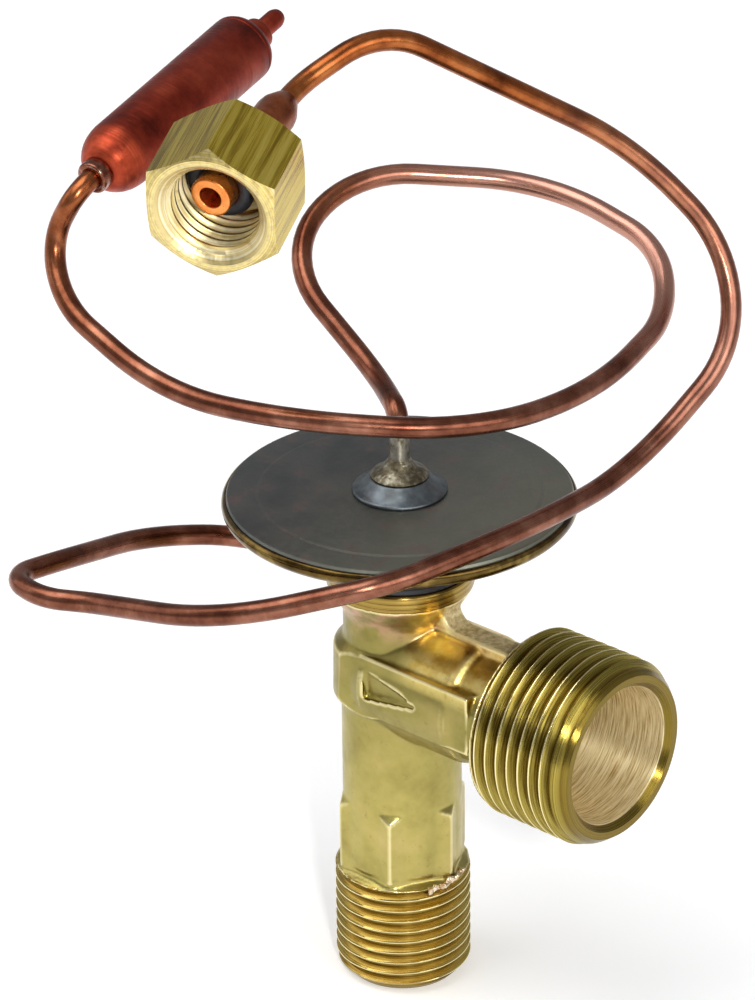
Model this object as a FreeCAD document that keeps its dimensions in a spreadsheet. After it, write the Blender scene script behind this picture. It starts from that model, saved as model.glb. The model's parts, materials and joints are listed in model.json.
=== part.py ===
import FreeCAD, Part
import math
import os

import Sketcher

# Thermostatic expansion valve, angle pattern, with a remote bulb and an external equalizer tube.
# Millimetres, +Z up. The origin is the centre of the inlet's end face, and +Z runs along the inlet
# towards the power head. The outlet faces +X.

doc = FreeCAD.newDocument("ExpansionValve")
V = FreeCAD.Vector

# Driving dimensions

SIZES = [
    ("inlet_thread_radius", 7.9375),
    ("inlet_thread_pitch", 1.4111),
    ("inlet_thread_length", 12.4),
    ("inlet_chamfer", 1.6),
    ("relief_depth", 1.1875),
    ("relief_length", 0.9),
    ("inlet_bore_radius", 5.6),
    ("inlet_bore_depth", 7.0),
    ("spring_bore_radius", 4.5),
    ("seat_drop", 4.82),
    ("stem_radius_lower", 6.95),
    ("stem_radius_upper", 6.65),
    ("hexagon_flats", 13.4),
    ("hexagon_height", 7.2),
    ("collar_radius", 7.9),
    ("collar_below", 3.12),
    ("collar_above", 4.28),
    ("wrench_flats", 14.2875),
    ("web_end", 16.2),
    ("outlet_thread_radius", 11.1125),
    ("outlet_thread_pitch", 1.5875),
    ("outlet_thread_length", 11.1),
    ("outlet_face", 33.0),
    ("outlet_bore_radius", 8.15),
    ("outlet_bore_depth", 12.0),
    ("chamber_radius", 4.6),
    ("neck_radius", 7.7),
    ("flange_radius", 8.5),
    ("flange_thickness", 2.1),
    ("flange_rise", 13.18),
    ("gasket_shelf", 2.1),
    ("gasket_thickness", 1.0),
    ("head_radius", 19.76),
    ("head_depth", 6.9),
    ("head_thickness", 1.4),
    ("sheet_thickness", 0.15),
    ("stem_radius", 1.2),
    ("rod_radius", 1.2),
    ("pad_radius", 9.0),
    ("ball_radius", 1.9),
    ("seat_hole_radius", 1.5),
    ("seat_thickness", 1.2),
    ("valve_opening", 0.3838),
    ("tube_radius", 1.22),
    ("port_drop", 4.0),
    ("nut_flats", 14.2875),
    ("nut_length", 11.0),
    ("nut_thread_bore", 4.95),
    ("nut_thread_depth", 8.4),
    ("fitting_radius", 2.35),
    ("fitting_bore", 1.27),
    ("fitting_length", 19.3),
    ("bulb_radius", 4.15),
    ("bulb_length", 24.35),
    ("bulb_wall", 0.55),
    ("fill_tip_length", 8.45),
    ("spring_mean_radius", 3.0),
    ("spring_wire_radius", 0.45),
    ("spring_turns", 3.5),
    ("spring_length", 7.05),
    ("adjuster_bottom", 17.0),
    ("adjuster_height", 3.6),
    ("spring_seat_thickness", 1.45),
    ("screw_clearance", 0.06),
]

sheet = doc.addObject("Spreadsheet::Sheet", "Sizes")
for row, (name, value) in enumerate(SIZES, start=1):
    sheet.set("A%d" % row, name)
    sheet.set("B%d" % row, str(value))
    sheet.setAlias("B%d" % row, name)
doc.recompute()
S = dict(SIZES)

NODES = []


def number(value):
    """A plain number, or the value of a formula written with the sheet's names."""
    if not isinstance(value, str):
        return float(value)
    text = value
    for name in sorted(S, key=len, reverse=True):
        text = text.replace("Sizes." + name, repr(float(S[name])))
    cell = doc.getObject("Sizes")
    return float(cell.evalExpression(text))


def bind(obj, prop, value):
    """Sets a property to a number, or binds it to the sheet."""
    if isinstance(value, str):
        obj.setExpression(prop, value)
    else:
        setattr(obj, prop, value)


def place(obj, pos, axis=(0, 0, 1), spin=0.0):
    """Puts an object's own Z along an axis at a position."""
    turn = FreeCAD.Rotation(V(0, 0, 1), V(*axis)).multiply(FreeCAD.Rotation(V(0, 0, 1), spin))
    obj.Placement = FreeCAD.Placement(V(*pos), turn)
    return obj


def plane_of(body, role):
    for feature in body.Origin.OriginFeatures:
        if feature.Role == role:
            return feature
    raise RuntimeError("no plane " + role)


def outline(body, name, points, role="XZ_Plane"):
    """A closed outline of straight lines. Every corner is fixed by its two distances from the origin."""
    sketch = body.newObject("Sketcher::SketchObject", name)
    sketch.AttachmentSupport = (plane_of(body, role), [""])
    sketch.MapMode = "FlatFace"
    flat = [V(number(a), number(b), 0) for a, b in points]
    count = len(flat)
    for i in range(count):
        sketch.addGeometry(Part.LineSegment(flat[i], flat[(i + 1) % count]), False)
    for i in range(count):
        sketch.addConstraint(Sketcher.Constraint("Coincident", i, 2, (i + 1) % count, 1))
    for i, (a, b) in enumerate(points):
        for kind, axis, value in (("DistanceX", -2, a), ("DistanceY", -1, b)):
            if abs(number(value)) < 1e-9:
                sketch.addConstraint(Sketcher.Constraint("PointOnObject", i, 1, axis))
                continue
            index = sketch.addConstraint(Sketcher.Constraint(kind, -1, 1, i, 1, number(value)))
            if isinstance(value, str):
                label = "%s%d" % (kind[-1].lower() + "_of_corner_", i)
                sketch.renameConstraint(index, label)
                sketch.setExpression("Constraints." + label, value)
    return sketch


def turned(name, points, about="V_Axis"):
    """A body made by turning an outline about the sketch's upright or level axis."""
    body = doc.addObject("PartDesign::Body", name)
    sketch = outline(body, name + "_outline", points)
    feature = body.newObject("PartDesign::Revolution", name + "_turn")
    feature.Profile = sketch
    feature.ReferenceAxis = (sketch, [about])
    feature.Angle = 360.0
    body.Tip = feature
    return body


def padded(name, points, width, role="XZ_Plane"):
    """A body made by pushing an outline out to both sides of its plane."""
    body = doc.addObject("PartDesign::Body", name)
    sketch = outline(body, name + "_outline", points, role)
    feature = body.newObject("PartDesign::Pad", name + "_pad")
    feature.Profile = sketch
    feature.Midplane = True
    bind(feature, "Length", width)
    body.Tip = feature
    return body


def cylinder(name, radius, height, pos=(0, 0, 0), axis=(0, 0, 1)):
    obj = doc.addObject("Part::Cylinder", name)
    bind(obj, "Radius", radius)
    bind(obj, "Height", height)
    return place(obj, pos, axis)


def fuse(name, pieces):
    obj = doc.addObject("Part::MultiFuse", name)
    obj.Shapes = pieces
    obj.Refine = True
    return obj


def cut(name, base, tools):
    obj = doc.addObject("Part::Cut", name)
    obj.Base = base
    obj.Tool = tools if not isinstance(tools, list) else fuse(name + "_tools", tools)
    return obj


def common(name, a, b):
    obj = doc.addObject("Part::MultiCommon", name)
    obj.Shapes = [a, b]
    return obj


def node(obj, label):
    """Marks an object as one separate piece, with the label that names its file."""
    obj.Label = label
    NODES.append((label, obj))
    return obj


# Levels that follow from the sizes. Each level is a formula, so a changed size moves all that stands on it

THREAD_TOP = "(Sizes.inlet_chamfer + Sizes.inlet_thread_length)"
HEX_BOTTOM = "(Sizes.inlet_chamfer + Sizes.inlet_thread_length + Sizes.relief_length)"
ADJUSTER_TOP = "(Sizes.adjuster_bottom + Sizes.adjuster_height)"
SPRING_FOOT = ADJUSTER_TOP[:-1] + " + Sizes.spring_seat_thickness + 0.1)"
BALL = SPRING_FOOT[:-1] + " + Sizes.spring_length + 2.7)"
SEAT_FOOT = (BALL[:-1] + " + Sizes.valve_opening + sqrt(Sizes.ball_radius ^ 2 - Sizes.seat_hole_radius ^ 2)"
             " + 0.35)")
SEAT_SHOULDER = SEAT_FOOT[:-1] + " + Sizes.seat_thickness)"
OUTLET = SEAT_SHOULDER[:-1] + " + Sizes.seat_drop)"
COLLAR_BOTTOM = OUTLET[:-1] + " - Sizes.collar_below)"
COLLAR_TOP = OUTLET[:-1] + " + Sizes.collar_above)"
FLANGE_TOP = OUTLET[:-1] + " + Sizes.flange_rise)"
PORT = FLANGE_TOP[:-1] + " - Sizes.port_drop)"
GASKET_TOP = FLANGE_TOP[:-1] + " + Sizes.gasket_thickness)"
DIAPHRAGM = GASKET_TOP[:-1] + " + Sizes.head_depth)"
HEAD_TOP = DIAPHRAGM[:-1] + " + Sizes.head_thickness)"
SPIGOT = "(Sizes.flange_radius - Sizes.gasket_shelf)"
THREAD_START = "(Sizes.outlet_face - 2.1 - Sizes.outlet_thread_length)"
RELIEF = "(Sizes.inlet_thread_radius - Sizes.relief_depth)"


def up(level, step):
    """A height above a level, or below it, as a formula."""
    return "%s %s %s" % (level, "-" if step < 0 else "+", abs(step))


# Valve body: one forging with a turned core, a hexagon, a flatted collar, a web and the outlet neck.
# The collar narrows a little upwards, as a forging does to leave its die

core = turned("core", [
    (0, 0), ("Sizes.inlet_thread_radius - 1.4375", 0), ("Sizes.inlet_thread_radius", "Sizes.inlet_chamfer"),
    ("Sizes.inlet_thread_radius", THREAD_TOP), (RELIEF, up(THREAD_TOP, 0.35)), (RELIEF, HEX_BOTTOM),
    ("Sizes.stem_radius_lower", up(HEX_BOTTOM, 0.3)), ("Sizes.stem_radius_lower", up(OUTLET, 0.18)),
    ("Sizes.stem_radius_upper", up(OUTLET, 1.18)), ("Sizes.stem_radius_upper", up(FLANGE_TOP, -5.5)),
    ("Sizes.stem_radius_upper + 0.3", up(FLANGE_TOP, -4.65)),
    ("Sizes.flange_radius - 0.9", up(FLANGE_TOP, -3.6)),
    ("Sizes.flange_radius - 0.35", up(FLANGE_TOP, -2.7)),
    ("Sizes.flange_radius", FLANGE_TOP + " - Sizes.flange_thickness"),
    ("Sizes.flange_radius", up(FLANGE_TOP, -0.2)), ("Sizes.flange_radius - 0.2", FLANGE_TOP),
    (SPIGOT, FLANGE_TOP), (SPIGOT, up(FLANGE_TOP, 2.3)),
    (SPIGOT + " - 0.3", up(FLANGE_TOP, 2.6)), (0, up(FLANGE_TOP, 2.6)),
])

hexagon = doc.addObject("Part::Prism", "hexagon")
hexagon.Polygon = 6
hexagon.setExpression("Circumradius", "Sizes.hexagon_flats / 2 / cos(30)")
hexagon.setExpression("Height", "Sizes.hexagon_height")
hexagon.Placement.Base = V(0, 0, number(HEX_BOTTOM))
hexagon.setExpression("Placement.Base.z", HEX_BOTTOM)
hexagon_limit = turned("hexagon_limit", [
    (0, HEX_BOTTOM), ("Sizes.hexagon_flats / 2 + 0.45", HEX_BOTTOM),
    ("Sizes.hexagon_flats / 2 + 1.2", up(HEX_BOTTOM, 0.6)),
    ("Sizes.hexagon_flats / 2 + 1.2", HEX_BOTTOM + " + Sizes.hexagon_height - 1.4"),
    ("Sizes.hexagon_flats / 2", HEX_BOTTOM + " + Sizes.hexagon_height"),
    (0, HEX_BOTTOM + " + Sizes.hexagon_height"),
])
hexagon_piece = common("hexagon_piece", hexagon, hexagon_limit)

collar = turned("collar", [
    (0, up(COLLAR_BOTTOM, -0.8)), ("Sizes.collar_radius - 1.0", up(COLLAR_BOTTOM, -0.8)),
    ("Sizes.collar_radius", up(COLLAR_BOTTOM, 0.2)), ("Sizes.collar_radius - 0.1", up(COLLAR_TOP, -1.0)),
    ("Sizes.collar_radius - 1.3", up(COLLAR_TOP, 0.3)), (0, up(COLLAR_TOP, 0.3)),
])
collar_flats = doc.addObject("Part::Box", "collar_flats")
collar_flats.Length = 24.0
collar_flats.setExpression("Width", "Sizes.wrench_flats")
collar_flats.setExpression("Height", "Sizes.collar_below + Sizes.collar_above + 4.6")
collar_flats.Placement.Base = V(-12, -S["wrench_flats"] / 2, number(COLLAR_BOTTOM) - 2.7)
collar_flats.setExpression("Placement.Base.y", "-Sizes.wrench_flats / 2")
collar_flats.setExpression("Placement.Base.z", up(COLLAR_BOTTOM, -2.7))
collar_piece = common("collar_piece", collar, collar_flats)

web = padded("web", [
    (0.0, COLLAR_BOTTOM), ("Sizes.web_end", COLLAR_BOTTOM), ("Sizes.web_end", COLLAR_TOP),
    (0.0, COLLAR_TOP),
], "Sizes.wrench_flats")

flash_rib = padded("flash_rib", [
    (4.0, up(COLLAR_TOP, -1.1)), (THREAD_START + " - 0.9", up(COLLAR_TOP, -1.1)),
    (THREAD_START + " - 0.9", OUTLET + " + Sizes.neck_radius + 0.43"),
    (9.6, OUTLET + " + Sizes.neck_radius + 0.43"),
    (8.5, up(FLANGE_TOP, -4.65)), (7.9, up(FLANGE_TOP, -3.8)), (7.6, up(FLANGE_TOP, -2.7)),
    (4.0, up(FLANGE_TOP, -2.7)),
], 3.2)

neck = turned("neck", [
    (-4.0, 0), (-4.0, "Sizes.neck_radius - 1.5"), (0.0, "Sizes.neck_radius"), (12.4, "Sizes.neck_radius"),
    (13.1, "Sizes.neck_radius - 0.2"), (13.6, "Sizes.neck_radius - 0.7"),
    (THREAD_START + " - 0.9", "Sizes.neck_radius - 0.7"),
    (THREAD_START + " - 0.8", "Sizes.outlet_thread_radius - 1.2125"),
    (THREAD_START, "Sizes.outlet_thread_radius"),
    ("Sizes.outlet_face - 2.1", "Sizes.outlet_thread_radius"),
    ("Sizes.outlet_face - 0.9", "(Sizes.outlet_thread_radius + Sizes.outlet_bore_radius + 1.55) / 2"),
    ("Sizes.outlet_face", "Sizes.outlet_bore_radius + 1.55"), ("Sizes.outlet_face", 0),
], "H_Axis")
neck.Placement.Base = V(0, 0, number(OUTLET))
neck.setExpression("Placement.Base.z", OUTLET)

port_boss = turned("port_boss", [
    (-9.5, 0), (-9.5, "Sizes.tube_radius + 0.88"), (-9.1, "Sizes.tube_radius + 1.28"),
    (-6.8, "Sizes.tube_radius + 1.28"),
    (-6.0, "Sizes.tube_radius + 1.98"), (-5.2, "Sizes.tube_radius + 1.98"), (-5.2, 0),
], "H_Axis")
port_boss.Placement.Base = V(0, 0, number(PORT))
port_boss.setExpression("Placement.Base.z", PORT)

forging = fuse("forging", [core, hexagon_piece, collar_piece, web, flash_rib, neck, port_boss])

upright_bores = turned("upright_bores", [
    (0, -1.0), ("Sizes.inlet_bore_radius + 0.3", -1.0), ("Sizes.inlet_bore_radius + 0.3", 0),
    ("Sizes.inlet_bore_radius", 0.3), ("Sizes.inlet_bore_radius", "Sizes.inlet_bore_depth"),
    ("Sizes.inlet_bore_radius - 0.25", "Sizes.inlet_bore_depth"),
    ("Sizes.inlet_bore_radius - 0.25", "Sizes.inlet_bore_depth + 1.0"),
    ("Sizes.spring_bore_radius", "Sizes.inlet_bore_depth + 1.0"),
    ("Sizes.spring_bore_radius", SEAT_SHOULDER),
    (4.2, SEAT_SHOULDER), (4.2, up(OUTLET, 4.58)), ("Sizes.rod_radius + 0.05", up(OUTLET, 4.58)),
    ("Sizes.rod_radius + 0.05", up(FLANGE_TOP, -5.4)), (SPIGOT + " - 1.5", up(FLANGE_TOP, -5.4)),
    (SPIGOT + " - 1.5", up(FLANGE_TOP, 3.5)), (0, up(FLANGE_TOP, 3.5)),
])
outlet_bores = turned("outlet_bores", [
    (-2.5, 0), (-2.0, "Sizes.chamber_radius"),
    ("Sizes.outlet_face - Sizes.outlet_bore_depth - 2.6", "Sizes.chamber_radius"),
    ("Sizes.outlet_face - Sizes.outlet_bore_depth", "Sizes.outlet_bore_radius"),
    ("Sizes.outlet_face - 0.8", "Sizes.outlet_bore_radius"),
    ("Sizes.outlet_face", "Sizes.outlet_bore_radius + 0.71"),
    ("Sizes.outlet_face + 1.0", "Sizes.outlet_bore_radius + 0.71"), ("Sizes.outlet_face + 1.0", 0),
], "H_Axis")
outlet_bores.Placement.Base = V(0, 0, number(OUTLET))
outlet_bores.setExpression("Placement.Base.z", OUTLET)
port_bores = turned("port_bores", [
    (-10.5, 0), (-10.5, "Sizes.tube_radius + 0.28"), (-9.5, "Sizes.tube_radius + 0.28"),
    (-9.2, "Sizes.tube_radius"),
    (-7.0, "Sizes.tube_radius"), (-7.0, 0.7), (-4.0, 0.7), (-4.0, 0),
], "H_Axis")
port_bores.Placement.Base = V(0, 0, number(PORT))
port_bores.setExpression("Placement.Base.z", PORT)


# Screw threads, as rings of the true section and pitch: one ring is turned and repeated along its axis


def thread_rings(name, radius, pitch, start, length, level=False):
    """Ring grooves with 60 degree sides. They meet just outside the crests, so they are one piece."""
    count = "floor(%s / %s + 0.1)" % (length, pitch)
    middle = "(%s + (%s - %s * %s) / 2 + %s / 2)" % (start, length, count, pitch, pitch)
    section = []
    for rise, half in (("- 0.6134 * " + pitch, 0.0833), ("+ 0.11 * " + pitch, 0.501), ("+ 0.4 * " + pitch, 0.501)):
        section.append(("%s %s" % (radius, rise), half))
    points = [(r, "%s - %s * %s" % (middle, half, pitch)) for r, half in section]
    points += [(r, "%s + %s * %s" % (middle, half, pitch)) for r, half in reversed(section)]
    if level:
        points = [(b, a) for a, b in points]
    body = turned(name, points, "H_Axis" if level else "V_Axis")
    first = body.Tip
    repeat = body.newObject("PartDesign::LinearPattern", name + "_repeat")
    repeat.Originals = [first]
    repeat.Direction = (first.Profile[0], ["H_Axis" if level else "V_Axis"])
    repeat.setExpression("Length", "(%s - 1) * %s" % (count, pitch))
    repeat.Occurrences = int(number(count))
    repeat.setExpression("Occurrences", count)
    body.Tip = repeat
    return body


inlet_rings = thread_rings("inlet_rings", "Sizes.inlet_thread_radius", "Sizes.inlet_thread_pitch",
                           "Sizes.inlet_chamfer", "Sizes.inlet_thread_length")
outlet_rings = thread_rings("outlet_rings", "Sizes.outlet_thread_radius", "Sizes.outlet_thread_pitch",
                            THREAD_START, "Sizes.outlet_thread_length", True)
outlet_rings.Placement.Base = V(0, 0, number(OUTLET))
outlet_rings.setExpression("Placement.Base.z", OUTLET)

# The shallow three-cornered dies' marks in both wrench flats, deepest at their lower inner corner


def die_mark(name, side):
    """A wedge with a sloping floor, from 0.45 deep at its lower corner to nothing at the other two."""
    flat = side * S["wrench_flats"] / 2
    out = flat + side * 0.5
    corners = []
    for x, rise, y in ((0.7, -1.22, flat - side * 0.45), (0.7, 2.68, flat), (10.4, 0.58, flat)):
        height = number(OUTLET) + rise
        corners += [V(x, y, height), V(x, out, height)]
    sides = [(0, 2, 4), (1, 5, 3), (0, 1, 3, 2), (0, 4, 5, 1), (2, 3, 5, 4)]
    rings = [[corners[i] for i in side_corners] for side_corners in sides]
    mark = Part.makeSolid(Part.Shell([Part.Face(Part.makePolygon(ring + ring[:1])) for ring in rings]))
    if mark.Volume < 0:
        mark.reverse()
    wedge = doc.addObject("Part::Feature", name)
    wedge.Shape = mark
    return wedge


die_marks = [die_mark("die_mark_front", -1), die_mark("die_mark_back", 1)]

body_tools = [upright_bores, outlet_bores, port_bores, inlet_rings, outlet_rings] + die_marks
node(cut("body_cut", forging, body_tools), "valve_body")

# Power head

node(turned("gasket", [
    (SPIGOT + " + 0.1", FLANGE_TOP), ("Sizes.flange_radius - 0.5", FLANGE_TOP),
    ("Sizes.flange_radius - 0.25", up(FLANGE_TOP, 0.25)),
    ("Sizes.flange_radius - 0.25", up(GASKET_TOP, -0.25)),
    ("Sizes.flange_radius - 0.5", GASKET_TOP), (SPIGOT + " + 0.1", GASKET_TOP),
]), "head_gasket")

HEAD = "Sizes.head_radius"
node(turned("lower_cup", [
    (SPIGOT, GASKET_TOP), ("Sizes.flange_radius + 0.1", GASKET_TOP),
    ("Sizes.flange_radius + 0.6", up(GASKET_TOP, 0.35)), (HEAD + " - 5.16", up(GASKET_TOP, 3.5)),
    (HEAD + " - 0.56", up(DIAPHRAGM, -0.8)), (HEAD + " + 0.14", up(DIAPHRAGM, -0.45)),
    (HEAD + " + 0.44", up(DIAPHRAGM, -0.2)), (HEAD + " + 0.54", up(DIAPHRAGM, 0.25)),
    (HEAD + " + 0.44", up(DIAPHRAGM, 0.7)), (HEAD + " + 0.19", up(DIAPHRAGM, 0.95)),
    (HEAD + " + 0.02", up(DIAPHRAGM, 0.95)), (HEAD + " + 0.02", DIAPHRAGM), (HEAD + " - 3.26", DIAPHRAGM),
    (HEAD + " - 6.16", up(DIAPHRAGM, -1.8)), ("Sizes.flange_radius - 0.1", up(GASKET_TOP, 2.1)),
    ("Sizes.flange_radius - 0.5", up(GASKET_TOP, 1.6)), (SPIGOT, up(GASKET_TOP, 1.6)),
]), "head_lower_cup")

SHEET = DIAPHRAGM + " + Sizes.sheet_thickness"
node(turned("diaphragm", [
    (HEAD + " - 0.2", DIAPHRAGM), (HEAD + " - 0.2", SHEET), (HEAD + " - 3.36", SHEET),
    (HEAD + " - 5.36", SHEET + " - 0.55"), (HEAD + " - 7.36", SHEET + " - 0.3"),
    ("Sizes.pad_radius + 0.6", SHEET + " - 0.7"),
    (0, SHEET + " - 0.7"), (0, up(DIAPHRAGM, -0.7)), ("Sizes.pad_radius + 0.6", up(DIAPHRAGM, -0.7)),
    (HEAD + " - 7.36", up(DIAPHRAGM, -0.3)),
    (HEAD + " - 5.36", up(DIAPHRAGM, -0.55)), (HEAD + " - 3.36", DIAPHRAGM),
]), "diaphragm")

node(turned("upper_cap", [
    ("Sizes.stem_radius + 0.02", up(HEAD_TOP, 0.15)), (HEAD + " - 3.76", up(HEAD_TOP, 0.15)),
    (HEAD + " - 3.41", HEAD_TOP),
    (HEAD + " - 0.35", HEAD_TOP), (HEAD, up(HEAD_TOP, -0.3)), (HEAD, SHEET), (HEAD + " - 3.16", SHEET),
    (HEAD + " - 3.76", up(HEAD_TOP, -0.8)), ("Sizes.stem_radius + 0.02", up(HEAD_TOP, -0.8)),
]), "head_upper_cap")

node(turned("collar_cone", [
    ("Sizes.stem_radius + 0.02", up(HEAD_TOP, 0.15)), (5.45, up(HEAD_TOP, 0.15)), (5.45, up(HEAD_TOP, 0.4)),
    (5.05, up(HEAD_TOP, 0.65)), (4.3, up(HEAD_TOP, 1.15)), (3.75, up(HEAD_TOP, 1.7)),
    (3.45, up(HEAD_TOP, 2.0)),
    ("Sizes.stem_radius + 0.02", up(HEAD_TOP, 2.0)),
]), "head_collar")

node(turned("braze", [
    ("Sizes.stem_radius", up(HEAD_TOP, 2.0)), (3.3, up(HEAD_TOP, 2.0)), (3.35, up(HEAD_TOP, 2.25)),
    (2.9, up(HEAD_TOP, 2.65)),
    (2.1, up(HEAD_TOP, 3.0)), (1.7, up(HEAD_TOP, 3.45)), (1.4, up(HEAD_TOP, 4.0)),
    ("Sizes.stem_radius", up(HEAD_TOP, 4.2)),
]), "stem_braze")

node(turned("stem", [
    (0.5, up(HEAD_TOP, -0.7)), ("Sizes.stem_radius", up(HEAD_TOP, -0.7)),
    ("Sizes.stem_radius", up(HEAD_TOP, 7.2)),
    (0.5, up(HEAD_TOP, 7.2)),
]), "capillary_stem")

# Bent tubes: straight runs joined by tangent arcs


def unit(v):
    return V(v).normalize()


def tube_path(points, last_straight=0.0, share=0.5, least=0.6):
    """Edges of a route whose corners are rounded as widely as the runs beside them allow."""
    points = [V(*p) for p in points]
    runs = [(points[i + 1] - points[i]).Length for i in range(len(points) - 1)]
    reach = []
    for i in range(1, len(points) - 1):
        before = runs[i - 1] if i == 1 else runs[i - 1] * share
        after = runs[i] - last_straight if i == len(points) - 2 else runs[i] * share
        reach.append(min(before, after))
    for i in range(len(reach)):
        # a straight left between two arcs is either nothing or long enough to be a true straight
        if i + 1 < len(reach):
            left = runs[i + 1] - reach[i] - reach[i + 1]
            if 1e-6 < left < least:
                reach[i] -= (least - left) / 2
                reach[i + 1] -= (least - left) / 2
    edges = []
    radii = []
    last = points[0]
    for i, t in enumerate(reach, start=1):
        a = unit(points[i - 1] - points[i])
        b = unit(points[i + 1] - points[i])
        half = a.getAngle(b) / 2
        radius = t * math.tan(half)
        radii.append(radius)
        p0 = points[i] + a * t
        p1 = points[i] + b * t
        centre = points[i] + unit(a + b) * (radius / math.sin(half))
        middle = centre + unit(points[i] - centre) * radius
        if (p0 - last).Length > 1e-4:
            edges.append(Part.LineSegment(last, p0).toShape())
        edges.append(Part.Arc(p0, middle, p1).toShape())
        last = p1
    if (points[-1] - last).Length > 1e-4:
        edges.append(Part.LineSegment(last, points[-1]).toShape())
    return edges, radii


def bent_tube(name, points, last_straight=0.0, radius="tube_radius"):
    """A round rod along a rounded route: cylinders on its straights, rings' sectors on its arcs."""
    edges, radii = tube_path(points, last_straight)
    start = edges[0].valueAt(edges[0].FirstParameter)
    section = Part.Edge(Part.Circle(start, edges[0].tangentAt(edges[0].FirstParameter), S[radius]))
    skins = [Part.Face(Part.Wire(section))]
    for edge in edges:
        if isinstance(edge.Curve, Part.Circle):
            turn = math.degrees(edge.Length / edge.Curve.Radius)
            skins.append(section.revolve(edge.Curve.Center, edge.Curve.Axis, turn))
            section = section.copy()
            section.rotate(edge.Curve.Center, edge.Curve.Axis, turn)
        else:
            step = edge.valueAt(edge.LastParameter) - edge.valueAt(edge.FirstParameter)
            skins.append(section.extrude(step))
            section = section.copy()
            section.translate(step)
    skins.append(Part.Face(Part.Wire(section)))
    skin = Part.Compound(skins)
    skin.sewShape()
    rod = Part.makeSolid(skin.Shells[0] if skin.ShapeType == "Compound" else skin)
    if rod.Volume < 0:
        rod.reverse()
    tube = doc.addObject("Part::Feature", name)
    tube.Shape = rod
    return tube, radii, sum(edge.Length for edge in edges)


# Corners of both routes. Their heights are counted from the head's top

CROWN = number(HEAD_TOP)
CAPILLARY = [
    (0, 0, 7.2), (0, 0, 9.8), (-8.5, 5.6, 10), (-24.41, 7.19, 19.1), (-26.48, 21.35, 25.01),
    (-9.69, 37.85, 22.86), (7.78, 36.81, 19.99), (14.61, 29.68, 15.65), (19.03, 11.57, 14.14),
    (16.57, -6.74, 15.24), (0.87, -18.73, 16.03), (-15.68, -21.8, 15.3), (-30.65, -21.98, 21.49),
    (-35.59, -18.89, 27.05), (-31.96, -18.06, 33.81), (-32.646, -13.107, 34.785),
]
EQUALIZER = [
    (-8.24, -8.79, 48.33), (-9.09, -5.98, 48.96), (-5.71, 4.09, 53.61), (8.09, 30.69, 34.82),
    (16.87, 37.14, 23.13), (21.69, 33.42, 12.57), (19.16, 17.94, 1.83), (21.15, -1.71, 3.31),
    (16.96, -17.93, 1.84), (15.33, -21.89, 1.6), (2.38, -32.78, -2.62), (-17.34, -33.06, -7.02),
    (-21.84, -35.72, -7), (-28.32, -34.72, -6.94), (-27.75, -28.02, -7.54), (-29.64, -10.66, -11.48),
]
CAPILLARY = [(x, y, z + CROWN) for x, y, z in CAPILLARY]
EQUALIZER = [(x, y, z + CROWN) for x, y, z in EQUALIZER] + [(-22.84, 0.0, number(PORT)), (-7.0, 0.0, number(PORT))]
capillary, capillary_radii, capillary_length = bent_tube("capillary", CAPILLARY, 2.5)
node(capillary, "capillary_tube")
equalizer, equalizer_radii, equalizer_length = bent_tube("equalizer", EQUALIZER)
node(equalizer, "equalizer_tube")

# Sensing bulb, in its own frame: its axis is +Z and the front shoulder is at 0

BULB_FRONT = (-33.05, -10.19, CROWN + 35.36)
BULB_AXIS = (-0.1347, 0.9722, 0.1917)
BULB = "Sizes.bulb_radius"
INSIDE = "Sizes.bulb_radius - Sizes.bulb_wall"
TUBE = "Sizes.tube_radius"
END = "Sizes.bulb_length"
TIP = "Sizes.bulb_length + Sizes.fill_tip_length"

shell = turned("shell", [
    (TUBE + " + 0.28", -3.7), (TUBE + " + 0.78", -3.7), (BULB + " - 1.4", -3.3), (BULB + " - 0.7", -2.4),
    (BULB + " - 0.2", -1.1), (BULB, 0.3), (BULB, END), (INSIDE, END), (INSIDE, 0.5),
    (BULB + " - 0.75", -0.9),
    (BULB + " - 1.2", -2.0), (BULB + " - 1.85", -2.8), (TUBE + " + 0.28", -3.0),
])
node(place(shell, BULB_FRONT, BULB_AXIS), "bulb_shell")
bulb_collar = turned("bulb_ferrule", [
    (TUBE, -5.3), (TUBE + " + 0.53", -5.3), (TUBE + " + 0.73", -5.1), (TUBE + " + 0.73", -3.7),
    (TUBE + " + 0.28", -3.7),
    (TUBE + " + 0.28", -2.6), (TUBE, -2.6),
])
node(place(bulb_collar, BULB_FRONT, BULB_AXIS), "bulb_collar")
bulb_end = turned("bulb_end", [
    (1.1, up(END, -1.15)), (INSIDE + " - 0.05", up(END, -1.15)), (INSIDE + " - 0.05", END), (BULB, END),
    (BULB + " - 0.05", up(END, 0.55)), (BULB + " - 0.4", up(END, 1.15)), (BULB + " - 1.25", up(END, 1.75)),
    (2.15, up(END, 2.15)), (1.95, up(END, 2.55)), (1.95, up(END, 3.95)), (1.7, up(END, 4.15)),
    (1.1, up(END, 4.15)),
])
node(place(bulb_end, BULB_FRONT, BULB_AXIS), "bulb_end_cap")
fill_tip = turned("fill_tip", [
    (0, up(END, 2.05)), (1.1, up(END, 2.05)), (1.1, up(TIP, -3.9)), (1.18, up(TIP, -3.5)),
    (1.18, up(TIP, -1.2)),
    (0.95, up(TIP, -0.5)), (0.5, up(TIP, -0.1)), (0, TIP),
])
node(place(fill_tip, BULB_FRONT, BULB_AXIS), "bulb_fill_tip")

# Flare nut, in its own frame: its mouth is at 0 and its back at +Z

NUT_MOUTH = (-0.523, -29.18, CROWN + 43.631)
NUT_AXIS = (-0.4147, 0.8891, 0.1939)
NUT_SPIN = 0.0

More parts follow.
